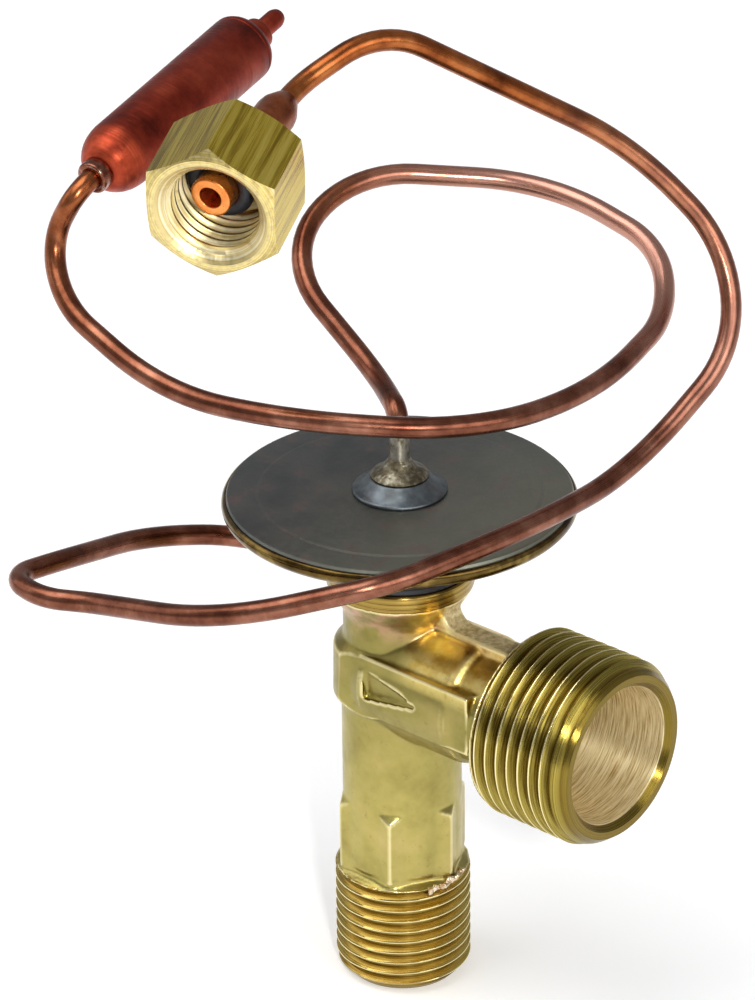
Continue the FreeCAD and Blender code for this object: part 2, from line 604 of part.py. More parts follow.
nut_hexagon = doc.addObject("Part::Prism", "nut_hexagon")
nut_hexagon.Polygon = 6
nut_hexagon.setExpression("Circumradius", "Sizes.nut_flats / 2 / cos(30)")
nut_hexagon.setExpression("Height", "Sizes.nut_length")
nut_limit = turned("nut_limit", [
    (0, 0), ("Sizes.nut_flats / 2 - 0.14375", 0), ("Sizes.nut_flats / 2 + 1.15625", 0.75),
    ("Sizes.nut_flats / 2 + 1.15625", "Sizes.nut_length - 0.75"),
    ("Sizes.nut_flats / 2 - 0.14375", "Sizes.nut_length"),
    (0, "Sizes.nut_length"),
])
nut_blank = common("nut_blank", nut_hexagon, nut_limit)
nut_bores = turned("nut_bores", [
    (0, -1), ("Sizes.nut_thread_bore + 0.7", -1), ("Sizes.nut_thread_bore + 0.7", 0),
    ("Sizes.nut_thread_bore", 0.75),
    ("Sizes.nut_thread_bore", "Sizes.nut_thread_depth"),
    ("Sizes.fitting_radius + 0.55", "Sizes.nut_thread_depth + 0.9"),
    ("Sizes.fitting_radius + 0.55", "Sizes.nut_length + 1.0"), (0, "Sizes.nut_length + 1.0"),
])
nut = cut("nut_cut", nut_blank, nut_bores)
# one corner of the hexagon points nearly up, as it hangs in the photograph
corner = V(0.1083, -0.1633, 0.9806)
plain = FreeCAD.Rotation(V(0, 0, 1), V(*NUT_AXIS))
local = plain.inverted().multVec(corner)
NUT_SPIN = math.degrees(math.atan2(local.y, local.x))
node(place(nut, NUT_MOUTH, NUT_AXIS, NUT_SPIN), "flare_nut")

# Copper end fitting and its ring, on the tube's own axis, which the loose nut doesn't share

FITTING_START = (-2.732, -26.853, CROWN + 44.329)
FITTING_AXIS = (-0.2852, 0.9358, 0.2074)

COPPER = "Sizes.fitting_radius"
REACH = "Sizes.fitting_length"

fitting = turned("fitting", [
    ("Sizes.fitting_bore", 0), (COPPER + " - 0.15", 0), (COPPER, 0.2), (COPPER, 3.6),
    (COPPER + " + 1.25", 3.6),
    (COPPER + " + 1.55", 3.9), (COPPER + " + 1.55", 4.2), (COPPER + " + 1.25", 4.5), (COPPER, 4.7),
    (COPPER, up(REACH, -2.9)),
    (COPPER + " - 0.15", up(REACH, -2.0)), (TUBE + " + 0.48", up(REACH, -0.8)),
    (TUBE + " + 0.23", up(REACH, -0.2)), (TUBE, REACH),
    (0, REACH), (0, up(REACH, -4.3)), ("Sizes.fitting_bore", up(REACH, -5.0)),
])
node(place(fitting, FITTING_START, FITTING_AXIS), "equalizer_fitting")
ring = turned("ring", [
    (COPPER, 2.2), (COPPER + " + 0.25", 2.02), (COPPER + " + 0.85", 1.95), (COPPER + " + 1.35", 2.2),
    (COPPER + " + 1.6", 2.75), (COPPER + " + 1.35", 3.3), (COPPER + " + 0.85", 3.58), (COPPER, 3.58),
])
node(place(ring, FITTING_START, FITTING_AXIS), "nut_o_ring")

# Valve train

node(turned("pad", [
    ("Sizes.rod_radius", up(DIAPHRAGM, -4.5)), (2.5, up(DIAPHRAGM, -4.5)), (2.7, up(DIAPHRAGM, -4.3)),
    (2.7, up(DIAPHRAGM, -2.5)), ("Sizes.pad_radius - 0.4", up(DIAPHRAGM, -2.2)),
    ("Sizes.pad_radius", up(DIAPHRAGM, -1.8)),
    ("Sizes.pad_radius", up(DIAPHRAGM, -1.1)), ("Sizes.pad_radius - 0.4", up(DIAPHRAGM, -0.7)),
    (0, up(DIAPHRAGM, -0.7)), (0, up(DIAPHRAGM, -2.7)), ("Sizes.rod_radius", up(DIAPHRAGM, -2.7)),
]), "diaphragm_pad")

node(turned("rod", [
    (0, BALL + " + Sizes.ball_radius"), (0.9, BALL + " + Sizes.ball_radius + 0.1"),
    (0.9, up(SEAT_SHOULDER, 1.2)),
    ("Sizes.rod_radius", up(SEAT_SHOULDER, 1.7)), ("Sizes.rod_radius", up(DIAPHRAGM, -2.7)),
    (0, up(DIAPHRAGM, -2.7)),
]), "push_rod")

node(turned("rod_ring", [
    ("Sizes.rod_radius + 0.05", up(FLANGE_TOP, -5.4)), (3.0, up(FLANGE_TOP, -5.4)),
    (3.0, up(FLANGE_TOP, -4.5)),
    (2.4, up(FLANGE_TOP, -3.8)), ("Sizes.rod_radius + 0.05", up(FLANGE_TOP, -3.8)),
]), "rod_seal")

node(turned("seat", [
    ("Sizes.seat_hole_radius", up(SEAT_FOOT, -0.35)),
    ("Sizes.seat_hole_radius + 0.6", up(SEAT_FOOT, -0.35)),
    ("Sizes.seat_hole_radius + 0.9", SEAT_FOOT), ("Sizes.spring_bore_radius", SEAT_FOOT),
    ("Sizes.spring_bore_radius", SEAT_SHOULDER), ("Sizes.seat_hole_radius", SEAT_SHOULDER),
]), "valve_seat")

ball = doc.addObject("Part::Sphere", "ball")
ball.setExpression("Radius", "Sizes.ball_radius")
ball.Placement.Base = V(0, 0, number(BALL))
ball.setExpression("Placement.Base.z", BALL)
node(ball, "valve_ball")

carrier_blank = turned("carrier_blank", [
    (0, up(BALL, -4.7)), (1.6, up(BALL, -4.7)), (1.9, up(BALL, -4.3)), (1.9, up(BALL, -2.7)),
    ("Sizes.spring_bore_radius - 0.9", up(BALL, -2.7)), ("Sizes.spring_bore_radius - 0.7", up(BALL, -2.5)),
    ("Sizes.spring_bore_radius - 0.7", up(BALL, -1.7)), (2.7, up(BALL, -0.5)), (0, up(BALL, -0.5)),
])
carrier_dish = doc.addObject("Part::Sphere", "carrier_dish")
carrier_dish.setExpression("Radius", "Sizes.ball_radius")
carrier_dish.Placement.Base = V(0, 0, number(BALL))
carrier_dish.setExpression("Placement.Base.z", BALL)
node(cut("carrier", carrier_blank, carrier_dish), "ball_carrier")

# Superheat spring: its wire runs as tangent arcs, twelve to the turn, between the seat and the carrier


def coil_route(radius, bottom, top, turns, per_turn=12):
    """Corners of a polygon wound round a helix, which the wire's arcs then round off."""
    count = int(round(turns * per_turn))
    reach = radius / math.cos(math.pi / per_turn)
    rise = (top - bottom) / count
    points = [(radius, 0.0, bottom)]
    for i in range(count):
        angle = 2 * math.pi * (i + 0.5) / per_turn
        points.append((reach * math.cos(angle), reach * math.sin(angle), bottom + (i + 0.5) * rise))
    end = 2 * math.pi * count / per_turn
    points.append((radius * math.cos(end), radius * math.sin(end), top))
    return points


COIL = coil_route(S["spring_mean_radius"], number(SPRING_FOOT) + S["spring_wire_radius"],
                  number(BALL) - 2.7 - S["spring_wire_radius"], S["spring_turns"])
spring, spring_radii, spring_length = bent_tube("spring", COIL, 0.0, "spring_wire_radius")
node(spring, "superheat_spring")

node(turned("spring_rest", [
    (1.3, up(ADJUSTER_TOP, 0.05)), ("Sizes.spring_bore_radius - 0.5", up(ADJUSTER_TOP, 0.05)),
    ("Sizes.spring_bore_radius - 0.3", up(ADJUSTER_TOP, 0.25)),
    ("Sizes.spring_bore_radius - 0.3", up(SPRING_FOOT, -0.05)),
    (2.3, up(SPRING_FOOT, -0.05)), (2.1, up(SPRING_FOOT, 1.25)), (1.3, up(SPRING_FOOT, 1.25)),
]), "spring_seat")

adjuster_blank = turned("adjuster_blank", [
    (0, "Sizes.adjuster_bottom"), ("Sizes.spring_bore_radius - 0.4", "Sizes.adjuster_bottom"),
    ("Sizes.spring_bore_radius - Sizes.screw_clearance", "Sizes.adjuster_bottom + 0.35"),
    ("Sizes.spring_bore_radius - Sizes.screw_clearance", "Sizes.adjuster_bottom + Sizes.adjuster_height - 0.35"),
    ("Sizes.spring_bore_radius - 0.4", ADJUSTER_TOP), (0, ADJUSTER_TOP),
])
socket = doc.addObject("Part::Prism", "adjuster_socket")
socket.Polygon = 6
socket.Circumradius = 2.9
socket.Height = 8.0
socket.Placement.Base = V(0, 0, S["adjuster_bottom"] - 2.0)
socket.setExpression("Placement.Base.z", "Sizes.adjuster_bottom - 2.0")
node(cut("adjuster", adjuster_blank, socket), "adjuster_nut")

# Inlet strainer

LEDGE = "(Sizes.inlet_bore_depth + 1.0)"
node(turned("strainer_flange", [
    (2.9, up(LEDGE, -0.9)), ("Sizes.inlet_bore_radius - 0.5", up(LEDGE, -0.9)),
    ("Sizes.inlet_bore_radius - 0.3", up(LEDGE, -0.7)), ("Sizes.inlet_bore_radius - 0.3", LEDGE),
    ("Sizes.spring_bore_radius - 0.1", LEDGE), ("Sizes.spring_bore_radius - 0.1", up(LEDGE, 1.4)),
    (3.2, up(LEDGE, 1.4)), (2.9, up(LEDGE, 1.1)),
]), "strainer_ring")
node(turned("strainer_basket", [
    (2.9, up(LEDGE, 1.4)), (3.2, up(LEDGE, 1.4)), ("Sizes.spring_bore_radius - 0.6", up(LEDGE, 1.4)),
    ("Sizes.spring_bore_radius - 0.6", up(LEDGE, 1.7)), (3.15, up(LEDGE, 1.9)), (2.6, up(LEDGE, 7.6)),
    (2.2, up(LEDGE, 8.1)),
    (0, up(LEDGE, 8.2)), (0, up(LEDGE, 7.95)), (2.05, up(LEDGE, 7.85)), (2.35, up(LEDGE, 7.45)),
    (2.9, up(LEDGE, 1.8)),
]), "strainer_basket")

# Build, check and write

doc.recompute()
for obj in doc.Objects:
    if "Invalid" in obj.State or "Error" in obj.State:
        raise RuntimeError("failed: %s %s" % (obj.Name, obj.State))
print("capillary bend radii", ["%.1f" % x for x in capillary_radii])
print("equalizer bend radii", ["%.1f" % x for x in equalizer_radii])
for label, tube, length, radius in (("capillary", capillary, capillary_length, "tube_radius"),
                                    ("equalizer", equalizer, equalizer_length, "tube_radius"),
                                    ("spring", spring, spring_length, "spring_wire_radius")):
    expected = math.pi * S[radius] ** 2 * length
    print(label, "length %.1f volume %.2f expected %.2f" % (length, tube.Shape.Volume, expected))

os.makedirs("parts", exist_ok=True)
total = 0
for label, obj in NODES:
    shape = obj.Shape
    if shape.isNull() or not shape.isValid() or len(shape.Solids) != 1:
        raise RuntimeError("bad shape: %s solids %d valid %s" % (label, len(shape.Solids), shape.isValid()))
    diagonal = shape.BoundBox.DiagonalLength
    facets = len(shape.tessellate(max(0.01, min(0.5, 0.0002 * diagonal)))[1])
    total += facets
    box = shape.BoundBox
    print("%-20s volume %9.2f facets %5d  x %.2f %.2f  y %.2f %.2f  z %.2f %.2f" % (
        label, shape.Volume, facets, box.XMin, box.XMax, box.YMin, box.YMax, box.ZMin, box.ZMax))
    shape.exportStep("parts/%s.step" % label)
print(len(NODES), "pieces,", total, "facets")
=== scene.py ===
# %% [markdown]
# # A brass expansion valve with its bulb and tubes
#
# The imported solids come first, as a fixed frame. Around them this lesson builds what the solids leave
# plain: soft forged edges, real screw threads, rolled rims, brazed joints and the skin of each metal.

# %% Load the frame
import json
import math

import bpy
from mathutils import Matrix, Vector

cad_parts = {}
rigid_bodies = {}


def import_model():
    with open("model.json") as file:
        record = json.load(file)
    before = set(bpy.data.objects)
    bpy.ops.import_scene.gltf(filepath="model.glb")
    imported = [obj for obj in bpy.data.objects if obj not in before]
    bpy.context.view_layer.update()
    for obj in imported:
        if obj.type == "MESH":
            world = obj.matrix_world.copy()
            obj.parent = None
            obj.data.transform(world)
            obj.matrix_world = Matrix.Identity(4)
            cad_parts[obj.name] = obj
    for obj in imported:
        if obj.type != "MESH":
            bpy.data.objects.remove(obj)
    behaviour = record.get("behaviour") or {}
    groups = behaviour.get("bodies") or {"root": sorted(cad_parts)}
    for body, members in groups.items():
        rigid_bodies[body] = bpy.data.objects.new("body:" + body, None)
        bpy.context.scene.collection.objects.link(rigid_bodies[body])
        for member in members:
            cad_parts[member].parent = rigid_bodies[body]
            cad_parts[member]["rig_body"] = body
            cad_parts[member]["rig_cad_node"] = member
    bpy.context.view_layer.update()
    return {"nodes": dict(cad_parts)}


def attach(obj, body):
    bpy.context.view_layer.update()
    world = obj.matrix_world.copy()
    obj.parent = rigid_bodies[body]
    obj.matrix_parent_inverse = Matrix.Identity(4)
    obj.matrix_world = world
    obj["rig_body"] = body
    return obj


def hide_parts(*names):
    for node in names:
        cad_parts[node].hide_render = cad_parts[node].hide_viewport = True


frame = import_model()
nodes = frame["nodes"]
print("solids loaded:", len(nodes))

# %% [markdown]
# ## Small tools
#
# All sizes below are in millimetres, as on a drawing, and MM turns them into Blender's metres. Every piece
# starts from nothing selected, because an operator acts on all that is selected.

# %% Selecting and editing
MM = 0.001
MERGE_DISTANCE = 0.002 * MM
CLOSE_DISTANCE = 0.0005 * MM


def clear_selection():
    """Leaves edit mode and deselects everything."""
    if bpy.context.object and bpy.context.object.mode != "OBJECT":
        bpy.ops.object.mode_set(mode="OBJECT")
    bpy.ops.object.select_all(action="DESELECT")


def take(piece):
    """Makes one piece the only selected and active one."""
    clear_selection()
    piece.select_set(True)
    bpy.context.view_layer.objects.active = piece


def edit(piece):
    """Opens a piece in edit mode with everything in it selected."""
    take(piece)
    bpy.ops.object.mode_set(mode="EDIT")
    bpy.ops.mesh.select_mode(type="VERT")
    bpy.ops.mesh.select_all(action="SELECT")


def done():
    """Leaves edit mode."""
    bpy.ops.object.mode_set(mode="OBJECT")


def settle():
    """Writes the active piece's place, turn and scale into its mesh."""
    bpy.ops.object.transform_apply(location=True, rotation=True, scale=True)


def tell(piece):
    """Prints how many faces a piece has."""
    print(piece.name, "faces:", len(piece.data.polygons))


def apply_modifier(piece, kind, **settings):
    """Adds a modifier, sets it and applies it at once."""
    take(piece)
    modifier = piece.modifiers.new(kind.title(), kind)
    for name, value in settings.items():
        setattr(modifier, name, value)
    bpy.ops.object.modifier_apply(modifier=modifier.name)


def mend(piece):
    """Merges double points and turns every face outwards."""
    edit(piece)
    bpy.ops.mesh.remove_doubles(threshold=MERGE_DISTANCE)
    bpy.ops.mesh.dissolve_degenerate(threshold=CLOSE_DISTANCE)
    bpy.ops.mesh.select_all(action="SELECT")
    bpy.ops.mesh.normals_make_consistent(inside=False)
    done()


def soften(piece, width, segments=2, angle=28):
    """Rounds every edge sharper than an angle by a width in millimetres."""
    apply_modifier(piece, "BEVEL", width=width * MM, segments=segments, limit_method="ANGLE",
                   angle_limit=math.radians(angle), use_clamp_overlap=True, harden_normals=False)


def shade(piece, angle):
    """Shades a piece smooth, apart from edges sharper than an angle in degrees."""
    take(piece)
    bpy.ops.object.shade_smooth_by_angle(angle=math.radians(angle))


def stand(piece, position, axis):
    """Turns a piece's own Z to an axis, moves it there, and leaves its place in its mesh."""
    take(piece)
    turn = Vector(axis).to_track_quat("Z", "Y")
    piece.matrix_world = Matrix.Translation(Vector(position) * MM) @ turn.to_matrix().to_4x4()
    settle()


def cut_away(piece, cutter, operation="DIFFERENCE"):
    """Subtracts another closed piece, or intersects the two. The other piece is then deleted."""
    apply_modifier(piece, "BOOLEAN", object=cutter, operation=operation, solver="EXACT")
    bpy.data.objects.remove(cutter)


def hexagon_bar(flats, bottom, top, turn=0.0):
    """Adds a hexagon bar about Z, by its width across the flats and its two heights in millimetres."""
    clear_selection()
    bpy.ops.mesh.primitive_cylinder_add(
        vertices=6, radius=flats / 2 / math.cos(math.pi / 6) * MM, depth=(top - bottom) * MM,
        location=(0, 0, (top + bottom) / 2 * MM), rotation=(0, 0, turn))
    settle()
    return bpy.context.object


# %% [markdown]
# ## Turned pieces
#
# Most of this valve comes off a lathe. A single point is drawn out along half of the section, and the
# outline is then spun about Z, as the work turns in a chuck. Corners are rounded later by a bevel.

# %% A helper for turned pieces
def drawn_line(name, outline):
    """Draws a line through (radius, height) points in millimetres, as a mesh of edges in the XZ plane."""
    clear_selection()
    bpy.ops.mesh.primitive_plane_add(size=MM)
    line = bpy.context.object
    line.name = name
    edit(line)
    bpy.ops.mesh.merge(type="CENTER")
    here = Vector((0, 0, 0))
    for number, (radius, height) in enumerate(outline):
        step = Vector((radius, 0, height)) * MM - here
        here += step
        if number == 0:
            bpy.ops.transform.translate(value=step)
        else:
            bpy.ops.mesh.extrude_region_move(TRANSFORM_OT_translate={"value": step})
    done()
    return line


def turned(name, outline, steps=96):
    """Spins a closed half-section, given as (radius, height) in millimetres, about Z."""
    piece = drawn_line(name, outline)
    uses = [0] * len(piece.data.vertices)
    for edge in piece.data.edges:
        for index in edge.vertices:
            uses[index] += 1
    for vertex in piece.data.vertices:
        vertex.select = uses[vertex.index] == 1
    bpy.ops.object.mode_set(mode="EDIT")
    bpy.ops.mesh.edge_face_add()
    bpy.ops.mesh.select_all(action="SELECT")
    bpy.ops.mesh.spin(steps=steps, angle=2 * math.pi, center=(0, 0, 0), axis=(0, 0, 1))
    done()
    mend(piece)
    return piece


# %% [markdown]
# ## Screw threads
#
# A thread is one groove that climbs by one pitch in each turn. One pitch of the true 60 degree section is
# drawn, with the crest a little rounded as a die leaves it, and the Screw modifier winds it into a ridged
# skin of clean four-sided faces. The rod is then trimmed by a turned blank, as a real thread runs out in the
# chamfers at its ends. A plane cut merges points that lie close to it, and Blender's usual distance for that
# is as large as a thread's crest, so the cut gets a much smaller one.

# %% A helper for threads
def bisect(piece, point, normal):
    """Removes what lies beyond a plane and closes the cut."""
    edit(piece)
    bpy.ops.mesh.bisect(plane_co=Vector(point) * MM, plane_no=normal, use_fill=True, clear_outer=True,
                        threshold=CLOSE_DISTANCE)
    done()


def wound_thread(name, major, pitch, bottom, top, steps=96, depth=0.6134):
    """A closed rod with a right-hand 60 degree thread between two heights. depth is in pitches."""
    root = major - depth * pitch
    flank = major - 0.13
    brow = major - 0.03
    section = [(root, 0.0), (root, pitch / 6), (flank, 0.49 * pitch), (brow, 0.53 * pitch),
               (major, 0.57 * pitch), (major, 0.6 * pitch), (brow, 0.64 * pitch), (flank, 0.68 * pitch),
               (root, pitch)]
    turns = math.ceil((top - bottom) / pitch) + 2
    rod = drawn_line(name, [(radius, height + bottom - pitch) for radius, height in section])
    apply_modifier(rod, "SCREW", angle=2 * math.pi, screw_offset=pitch * MM, iterations=turns, steps=steps,
                   render_steps=steps, axis="Z", use_normal_calculate=False, use_smooth_shade=False)
    edit(rod)
    bpy.ops.mesh.remove_doubles(threshold=MERGE_DISTANCE)
    done()
    bisect(rod, (0, 0, bottom), (0, 0, -1))
    bisect(rod, (0, 0, top), (0, 0, 1))
    edit(rod)
    bpy.ops.mesh.normals_make_consistent(inside=False)
    done()
    return rod


# %% [markdown]
# ## Valve body: the forging
#
# The middle of the body is a hot forging: every edge is soft, and the flats, the hexagon and the neck run
# into each other. A copy of the solid is cut free of its machined ends, remeshed to small even squares and
# smoothed, which rounds every edge and fills every corner a little, as the dies do. The wrench hexagon is
# joined on before that, so it grows out of the round body without a seam.

# %% Body forging
VOXEL = 0.244
SOFTENING = 2
HEXAGON_FLATS = 13.4
HEXAGON_BOTTOM, HEXAGON_TOP = 14.2, 24.8
FORGING_BOTTOM, FORGING_TOP, FORGING_REACH = 13.9, 51.0, 19.7

forging = nodes["valve_body"].copy()
forging.data = nodes["valve_body"].data.copy()
bpy.context.scene.collection.objects.link(forging)
forging.parent = None
forging.name = "body_forging"
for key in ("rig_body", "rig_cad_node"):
    del forging[key]
edit(forging)
bpy.ops.mesh.remove_doubles(threshold=CLOSE_DISTANCE)
done()
bisect(forging, (0, 0, FORGING_BOTTOM), (0, 0, -1))
bisect(forging, (FORGING_REACH, 0, 0), (1, 0, 0))
bisect(forging, (0, 0, FORGING_TOP), (0, 0, 1))
hexagon = hexagon_bar(HEXAGON_FLATS, HEXAGON_BOTTOM, HEXAGON_TOP, math.pi / 6)
cut_away(hexagon, turned("hexagon_limit", [
    (6.3, 14.3), (7.2, 14.3), (7.95, 14.9), (7.95, 22.35), (6.8, 23.75), (6.3, 23.75),
]), "INTERSECT")
take(hexagon)
forging.select_set(True)
bpy.context.view_layer.objects.active = forging
bpy.ops.object.join()
apply_modifier(forging, "REMESH", mode="VOXEL", voxel_size=VOXEL * MM, use_smooth_shade=True)
apply_modifier(forging, "SMOOTH", factor=0.5, iterations=SOFTENING)
tell(forging)

# %% [markdown]
# ## Valve body: the two threaded ends and the head's seat
#
# The inlet, the outlet and the seat of the power head are machined after forging, so they are crisp and
# bright. Each one is turned by itself and reaches a little way into the forging.

# %% Machined ends
INLET_MAJOR, INLET_PITCH = 7.9375, 1.4111
OUTLET_MAJOR, OUTLET_PITCH = 11.1125, 1.5875
OUTLET_HEIGHT = 39.82
OUTLET_BORE = 8.15

inlet_blank = turned("inlet_blank", [
    (5.85, 0.0), (6.5, 0.0), (8.24, 1.937), (8.24, 13.7), (6.75, 14.4), (6.0, 14.4), (6.0, 14.9),
    (4.45, 14.9), (4.45, 8.0), (5.35, 8.0), (5.35, 7.0), (5.6, 7.0), (5.6, 0.3),
])
inlet_end = wound_thread("inlet_end", INLET_MAJOR, INLET_PITCH, -0.6, 15.4)
cut_away(inlet_end, inlet_blank, "INTERSECT")

outlet_blank = turned("outlet_blank", [
    (4.55, 18.0), (6.6, 18.0), (6.6, 18.9), (9.9, 19.0), (11.4, 19.99), (11.4, 30.42), (10.4, 32.1),
    (9.7, 33.0), (8.86, 33.0), (OUTLET_BORE, 32.2), (OUTLET_BORE, 21.0), (4.55, 18.35),
], 128)
outlet_end = wound_thread("outlet_end", OUTLET_MAJOR, OUTLET_PITCH, 17.3, 34.0, 128)
cut_away(outlet_end, outlet_blank, "INTERSECT")
stand(outlet_end, (0, 0, OUTLET_HEIGHT), (1, 0, 0))

head_seat = turned("head_seat", [
    (4.9, 50.4), (8.1, 50.4), (8.45, 50.95), (8.5, 51.1), (8.5, 52.8), (8.3, 53.0), (6.4, 53.0), (6.4, 55.3),
    (6.1, 55.6), (4.9, 55.6),
])
soften(head_seat, 0.08, 2)
for piece in (inlet_end, outlet_end, head_seat):
    shade(piece, 32)
    tell(piece)

# %% [markdown]
# ## A torn burr
#
# Where the thread tool entered, it tore up a ragged flake that still hangs on the first turn. A small bar is
# wound over that stretch by the Screw modifier, remeshed, and roughened by a displacement along its normals.

# %% Burr on the inlet thread
BURR_START, BURR_SWEEP = -27, 40
BURR_CLIMB = 0.75

burr = drawn_line("thread_burr", [
    (7.6, 13.2), (8.05, 13.3), (8.3, 13.7), (8.2, 14.1), (7.8, 14.3), (7.5, 13.9), (7.6, 13.2),
])
burr.data.transform(Matrix.Rotation(math.radians(BURR_START), 4, "Z"))
apply_modifier(burr, "SCREW", angle=math.radians(BURR_SWEEP), screw_offset=BURR_CLIMB * MM, iterations=1,
               steps=24, render_steps=24, axis="Z", use_merge_vertices=False)
edit(burr)
bpy.ops.mesh.remove_doubles(threshold=MERGE_DISTANCE)
bpy.ops.mesh.fill_holes(sides=0)
bpy.ops.mesh.normals_make_consistent(inside=False)
done()
apply_modifier(burr, "REMESH", mode="VOXEL", voxel_size=0.07 * MM, use_smooth_shade=True)
crumple = bpy.data.textures.new("crumple", "CLOUDS")
crumple.noise_scale = 0.8 * MM
crumple.noise_depth = 3
apply_modifier(burr, "DISPLACE", texture=crumple, texture_coords="GLOBAL", strength=1.1 * MM, mid_level=0.6)
apply_modifier(burr, "SMOOTH", factor=0.5, iterations=1)
tell(burr)

# %% [markdown]
# ## The power head
#
# Two pressed discs hold the diaphragm between them. The lower cup's edge is rolled over the upper cap, and a
# cone collar in the middle takes the capillary's stem. The braze is a low uneven ring of melted metal.

# %% Power head
lower_cup = turned("lower_cup", [
    (6.4, 54.0), (8.6, 54.0), (9.1, 54.35), (11.8, 55.95), (14.6, 57.5), (17.0, 58.9), (19.2, 60.0),
    (19.9, 60.35), (20.22, 60.75), (20.3, 61.15), (20.22, 61.55), (19.98, 61.85), (19.78, 61.85),
    (19.78, 60.9), (16.5, 60.9), (13.6, 59.1), (8.4, 56.1), (8.0, 55.6), (6.4, 55.6),
], 160)
soften(lower_cup, 0.12, 3, 12)
upper_cap = turned("upper_cap", [
    (1.2, 62.45), (15.9, 62.45), (16.05, 62.43), (16.3, 62.31), (16.45, 62.3), (19.3, 62.3), (19.6, 62.2),
    (19.76, 61.95), (19.76, 61.05), (16.6, 61.05), (16.0, 61.5), (1.2, 61.5),
], 160)
collar = turned("cone_collar", [
    (1.2, 62.45), (5.35, 62.45), (5.45, 62.55), (5.45, 62.75), (5.3, 62.9), (4.9, 63.05), (4.35, 63.45),
    (3.8, 63.95), (3.45, 64.3), (1.2, 64.3),
], 128)
soften(collar, 0.08, 2, 20)
braze = turned("braze_ring", [
    (1.2, 64.3), (3.25, 64.3), (3.35, 64.5), (3.1, 64.8), (2.6, 65.05), (2.1, 65.3), (1.75, 65.75),
    (1.45, 66.2), (1.2, 66.5),
], 72)
stem = turned("stem", [(0.5, 61.6), (1.2, 61.6), (1.2, 69.35), (1.1, 69.5), (0.5, 69.5)], 48)
gasket = turned("gasket", [
    (6.5, 53.0), (8.0, 53.0), (8.25, 53.25), (8.25, 53.75), (8.0, 54.0), (6.5, 54.0),
], 96)
for piece in (lower_cup, upper_cap, collar, braze, stem, gasket):
    shade(piece, 28)
    tell(piece)

# %% [markdown]
# ## Bent copper tubes
#
# A tube bender leaves straight runs joined by round arcs, so each tube follows a Bezier line with two points
# for every bend. The handles are as long as a circle's arc asks. The tube's own length and girth become its
# UV map, which the lengthwise scratches follow later.

# %% Bent tubes
TUBE_RADIUS = 1.22
SAME_POINT = 0.02
CAPILLARY_END = 2.5
CAPILLARY_BENDS = [
    (0, 0, 69.5), (0, 0, 72.1), (-8.5, 5.6, 72.3), (-24.41, 7.19, 81.4), (-26.48, 21.35, 87.31),
    (-9.69, 37.85, 85.16), (7.78, 36.81, 82.29), (14.61, 29.68, 77.95), (19.03, 11.57, 76.44),
    (16.57, -6.74, 77.54), (0.87, -18.73, 78.33), (-15.68, -21.8, 77.6), (-30.65, -21.98, 83.79),
    (-35.59, -18.89, 89.35), (-31.96, -18.06, 96.11), (-32.646, -13.107, 97.085),
]
EQUALIZER_BENDS = [
    (-8.24, -8.79, 110.63), (-9.09, -5.98, 111.26), (-5.71, 4.09, 115.91), (8.09, 30.69, 97.12),
    (16.87, 37.14, 85.43), (21.69, 33.42, 74.87), (19.16, 17.94, 64.13), (21.15, -1.71, 65.61),
    (16.96, -17.93, 64.14), (15.33, -21.89, 63.9), (2.38, -32.78, 59.68), (-17.34, -33.06, 55.28),
    (-21.84, -35.72, 55.3), (-28.32, -34.72, 55.36), (-27.75, -28.02, 54.76), (-29.64, -10.66, 50.82),
    (-22.84, 0.0, 49.0), (-7.0, 0.0, 49.0),
]


def arc_handle(kept, i, chord):
    """A third of a straight, or the handle of the circle's arc between points i and i + 1."""
    if i < 0 or i + 1 >= len(kept):
        return chord / 3
    bend = kept[i][1].angle(kept[i + 1][1])
    if bend < 1e-4:
        return chord / 3
    radius = chord / 2 / math.sin(bend / 2)
    return 4 / 3 * math.tan(bend / 4) * radius


def bent_tube(name, corners, last_straight=0.0):
    """A tube through rounded corners, with a Bezier point where each bend starts and ends."""
    corners = [Vector(c) for c in corners]
    runs = [(b - a).length for a, b in zip(corners, corners[1:])]
    points = [(corners[0], (corners[1] - corners[0]).normalized())]
    for i in range(1, len(corners) - 1):
        before = runs[i - 1] if i == 1 else runs[i - 1] / 2
        after = runs[i] - last_straight if i == len(corners) - 2 else runs[i] / 2
        reach = min(before, after)
        come = (corners[i] - corners[i - 1]).normalized()
        leave = (corners[i + 1] - corners[i]).normalized()
        points.append((corners[i] - come * reach, come))
        points.append((corners[i] + leave * reach, leave))
    points.append((corners[-1], (corners[-1] - corners[-2]).normalized()))
    kept = [points[0]]
    for point in points[1:]:
        if (point[0] - kept[-1][0]).length > SAME_POINT:
            kept.append(point)
    clear_selection()
    bpy.ops.curve.primitive_bezier_curve_add()
    line = bpy.context.object
    line.name = name
    spline = line.data.splines[0]
    spline.bezier_points.add(len(kept) - 2)
    for i, (place, way) in enumerate(kept):
        bezier = spline.bezier_points[i]
        bezier.handle_left_type = bezier.handle_right_type = "FREE"
        back = (place - kept[i - 1][0]).length if i else 1.0
        ahead = (kept[i + 1][0] - place).length if i + 1 < len(kept) else 1.0
        bezier.co = place * MM
        bezier.handle_left = (place - way * arc_handle(kept, i - 1, back)) * MM
        bezier.handle_right = (place + way * arc_handle(kept, i, ahead)) * MM
    line.data.resolution_u = 10
    line.data.bevel_depth = TUBE_RADIUS * MM
    line.data.bevel_resolution = 8
    line.data.use_fill_caps = True
    take(line)
    bpy.ops.object.convert(target="MESH")
    tube = bpy.context.object
    take(tube)
    settle()
    shade(tube, 60)
    tell(tube)
    return tube


capillary = bent_tube("capillary", CAPILLARY_BENDS, CAPILLARY_END)
equalizer = bent_tube("equalizer", EQUALIZER_BENDS)

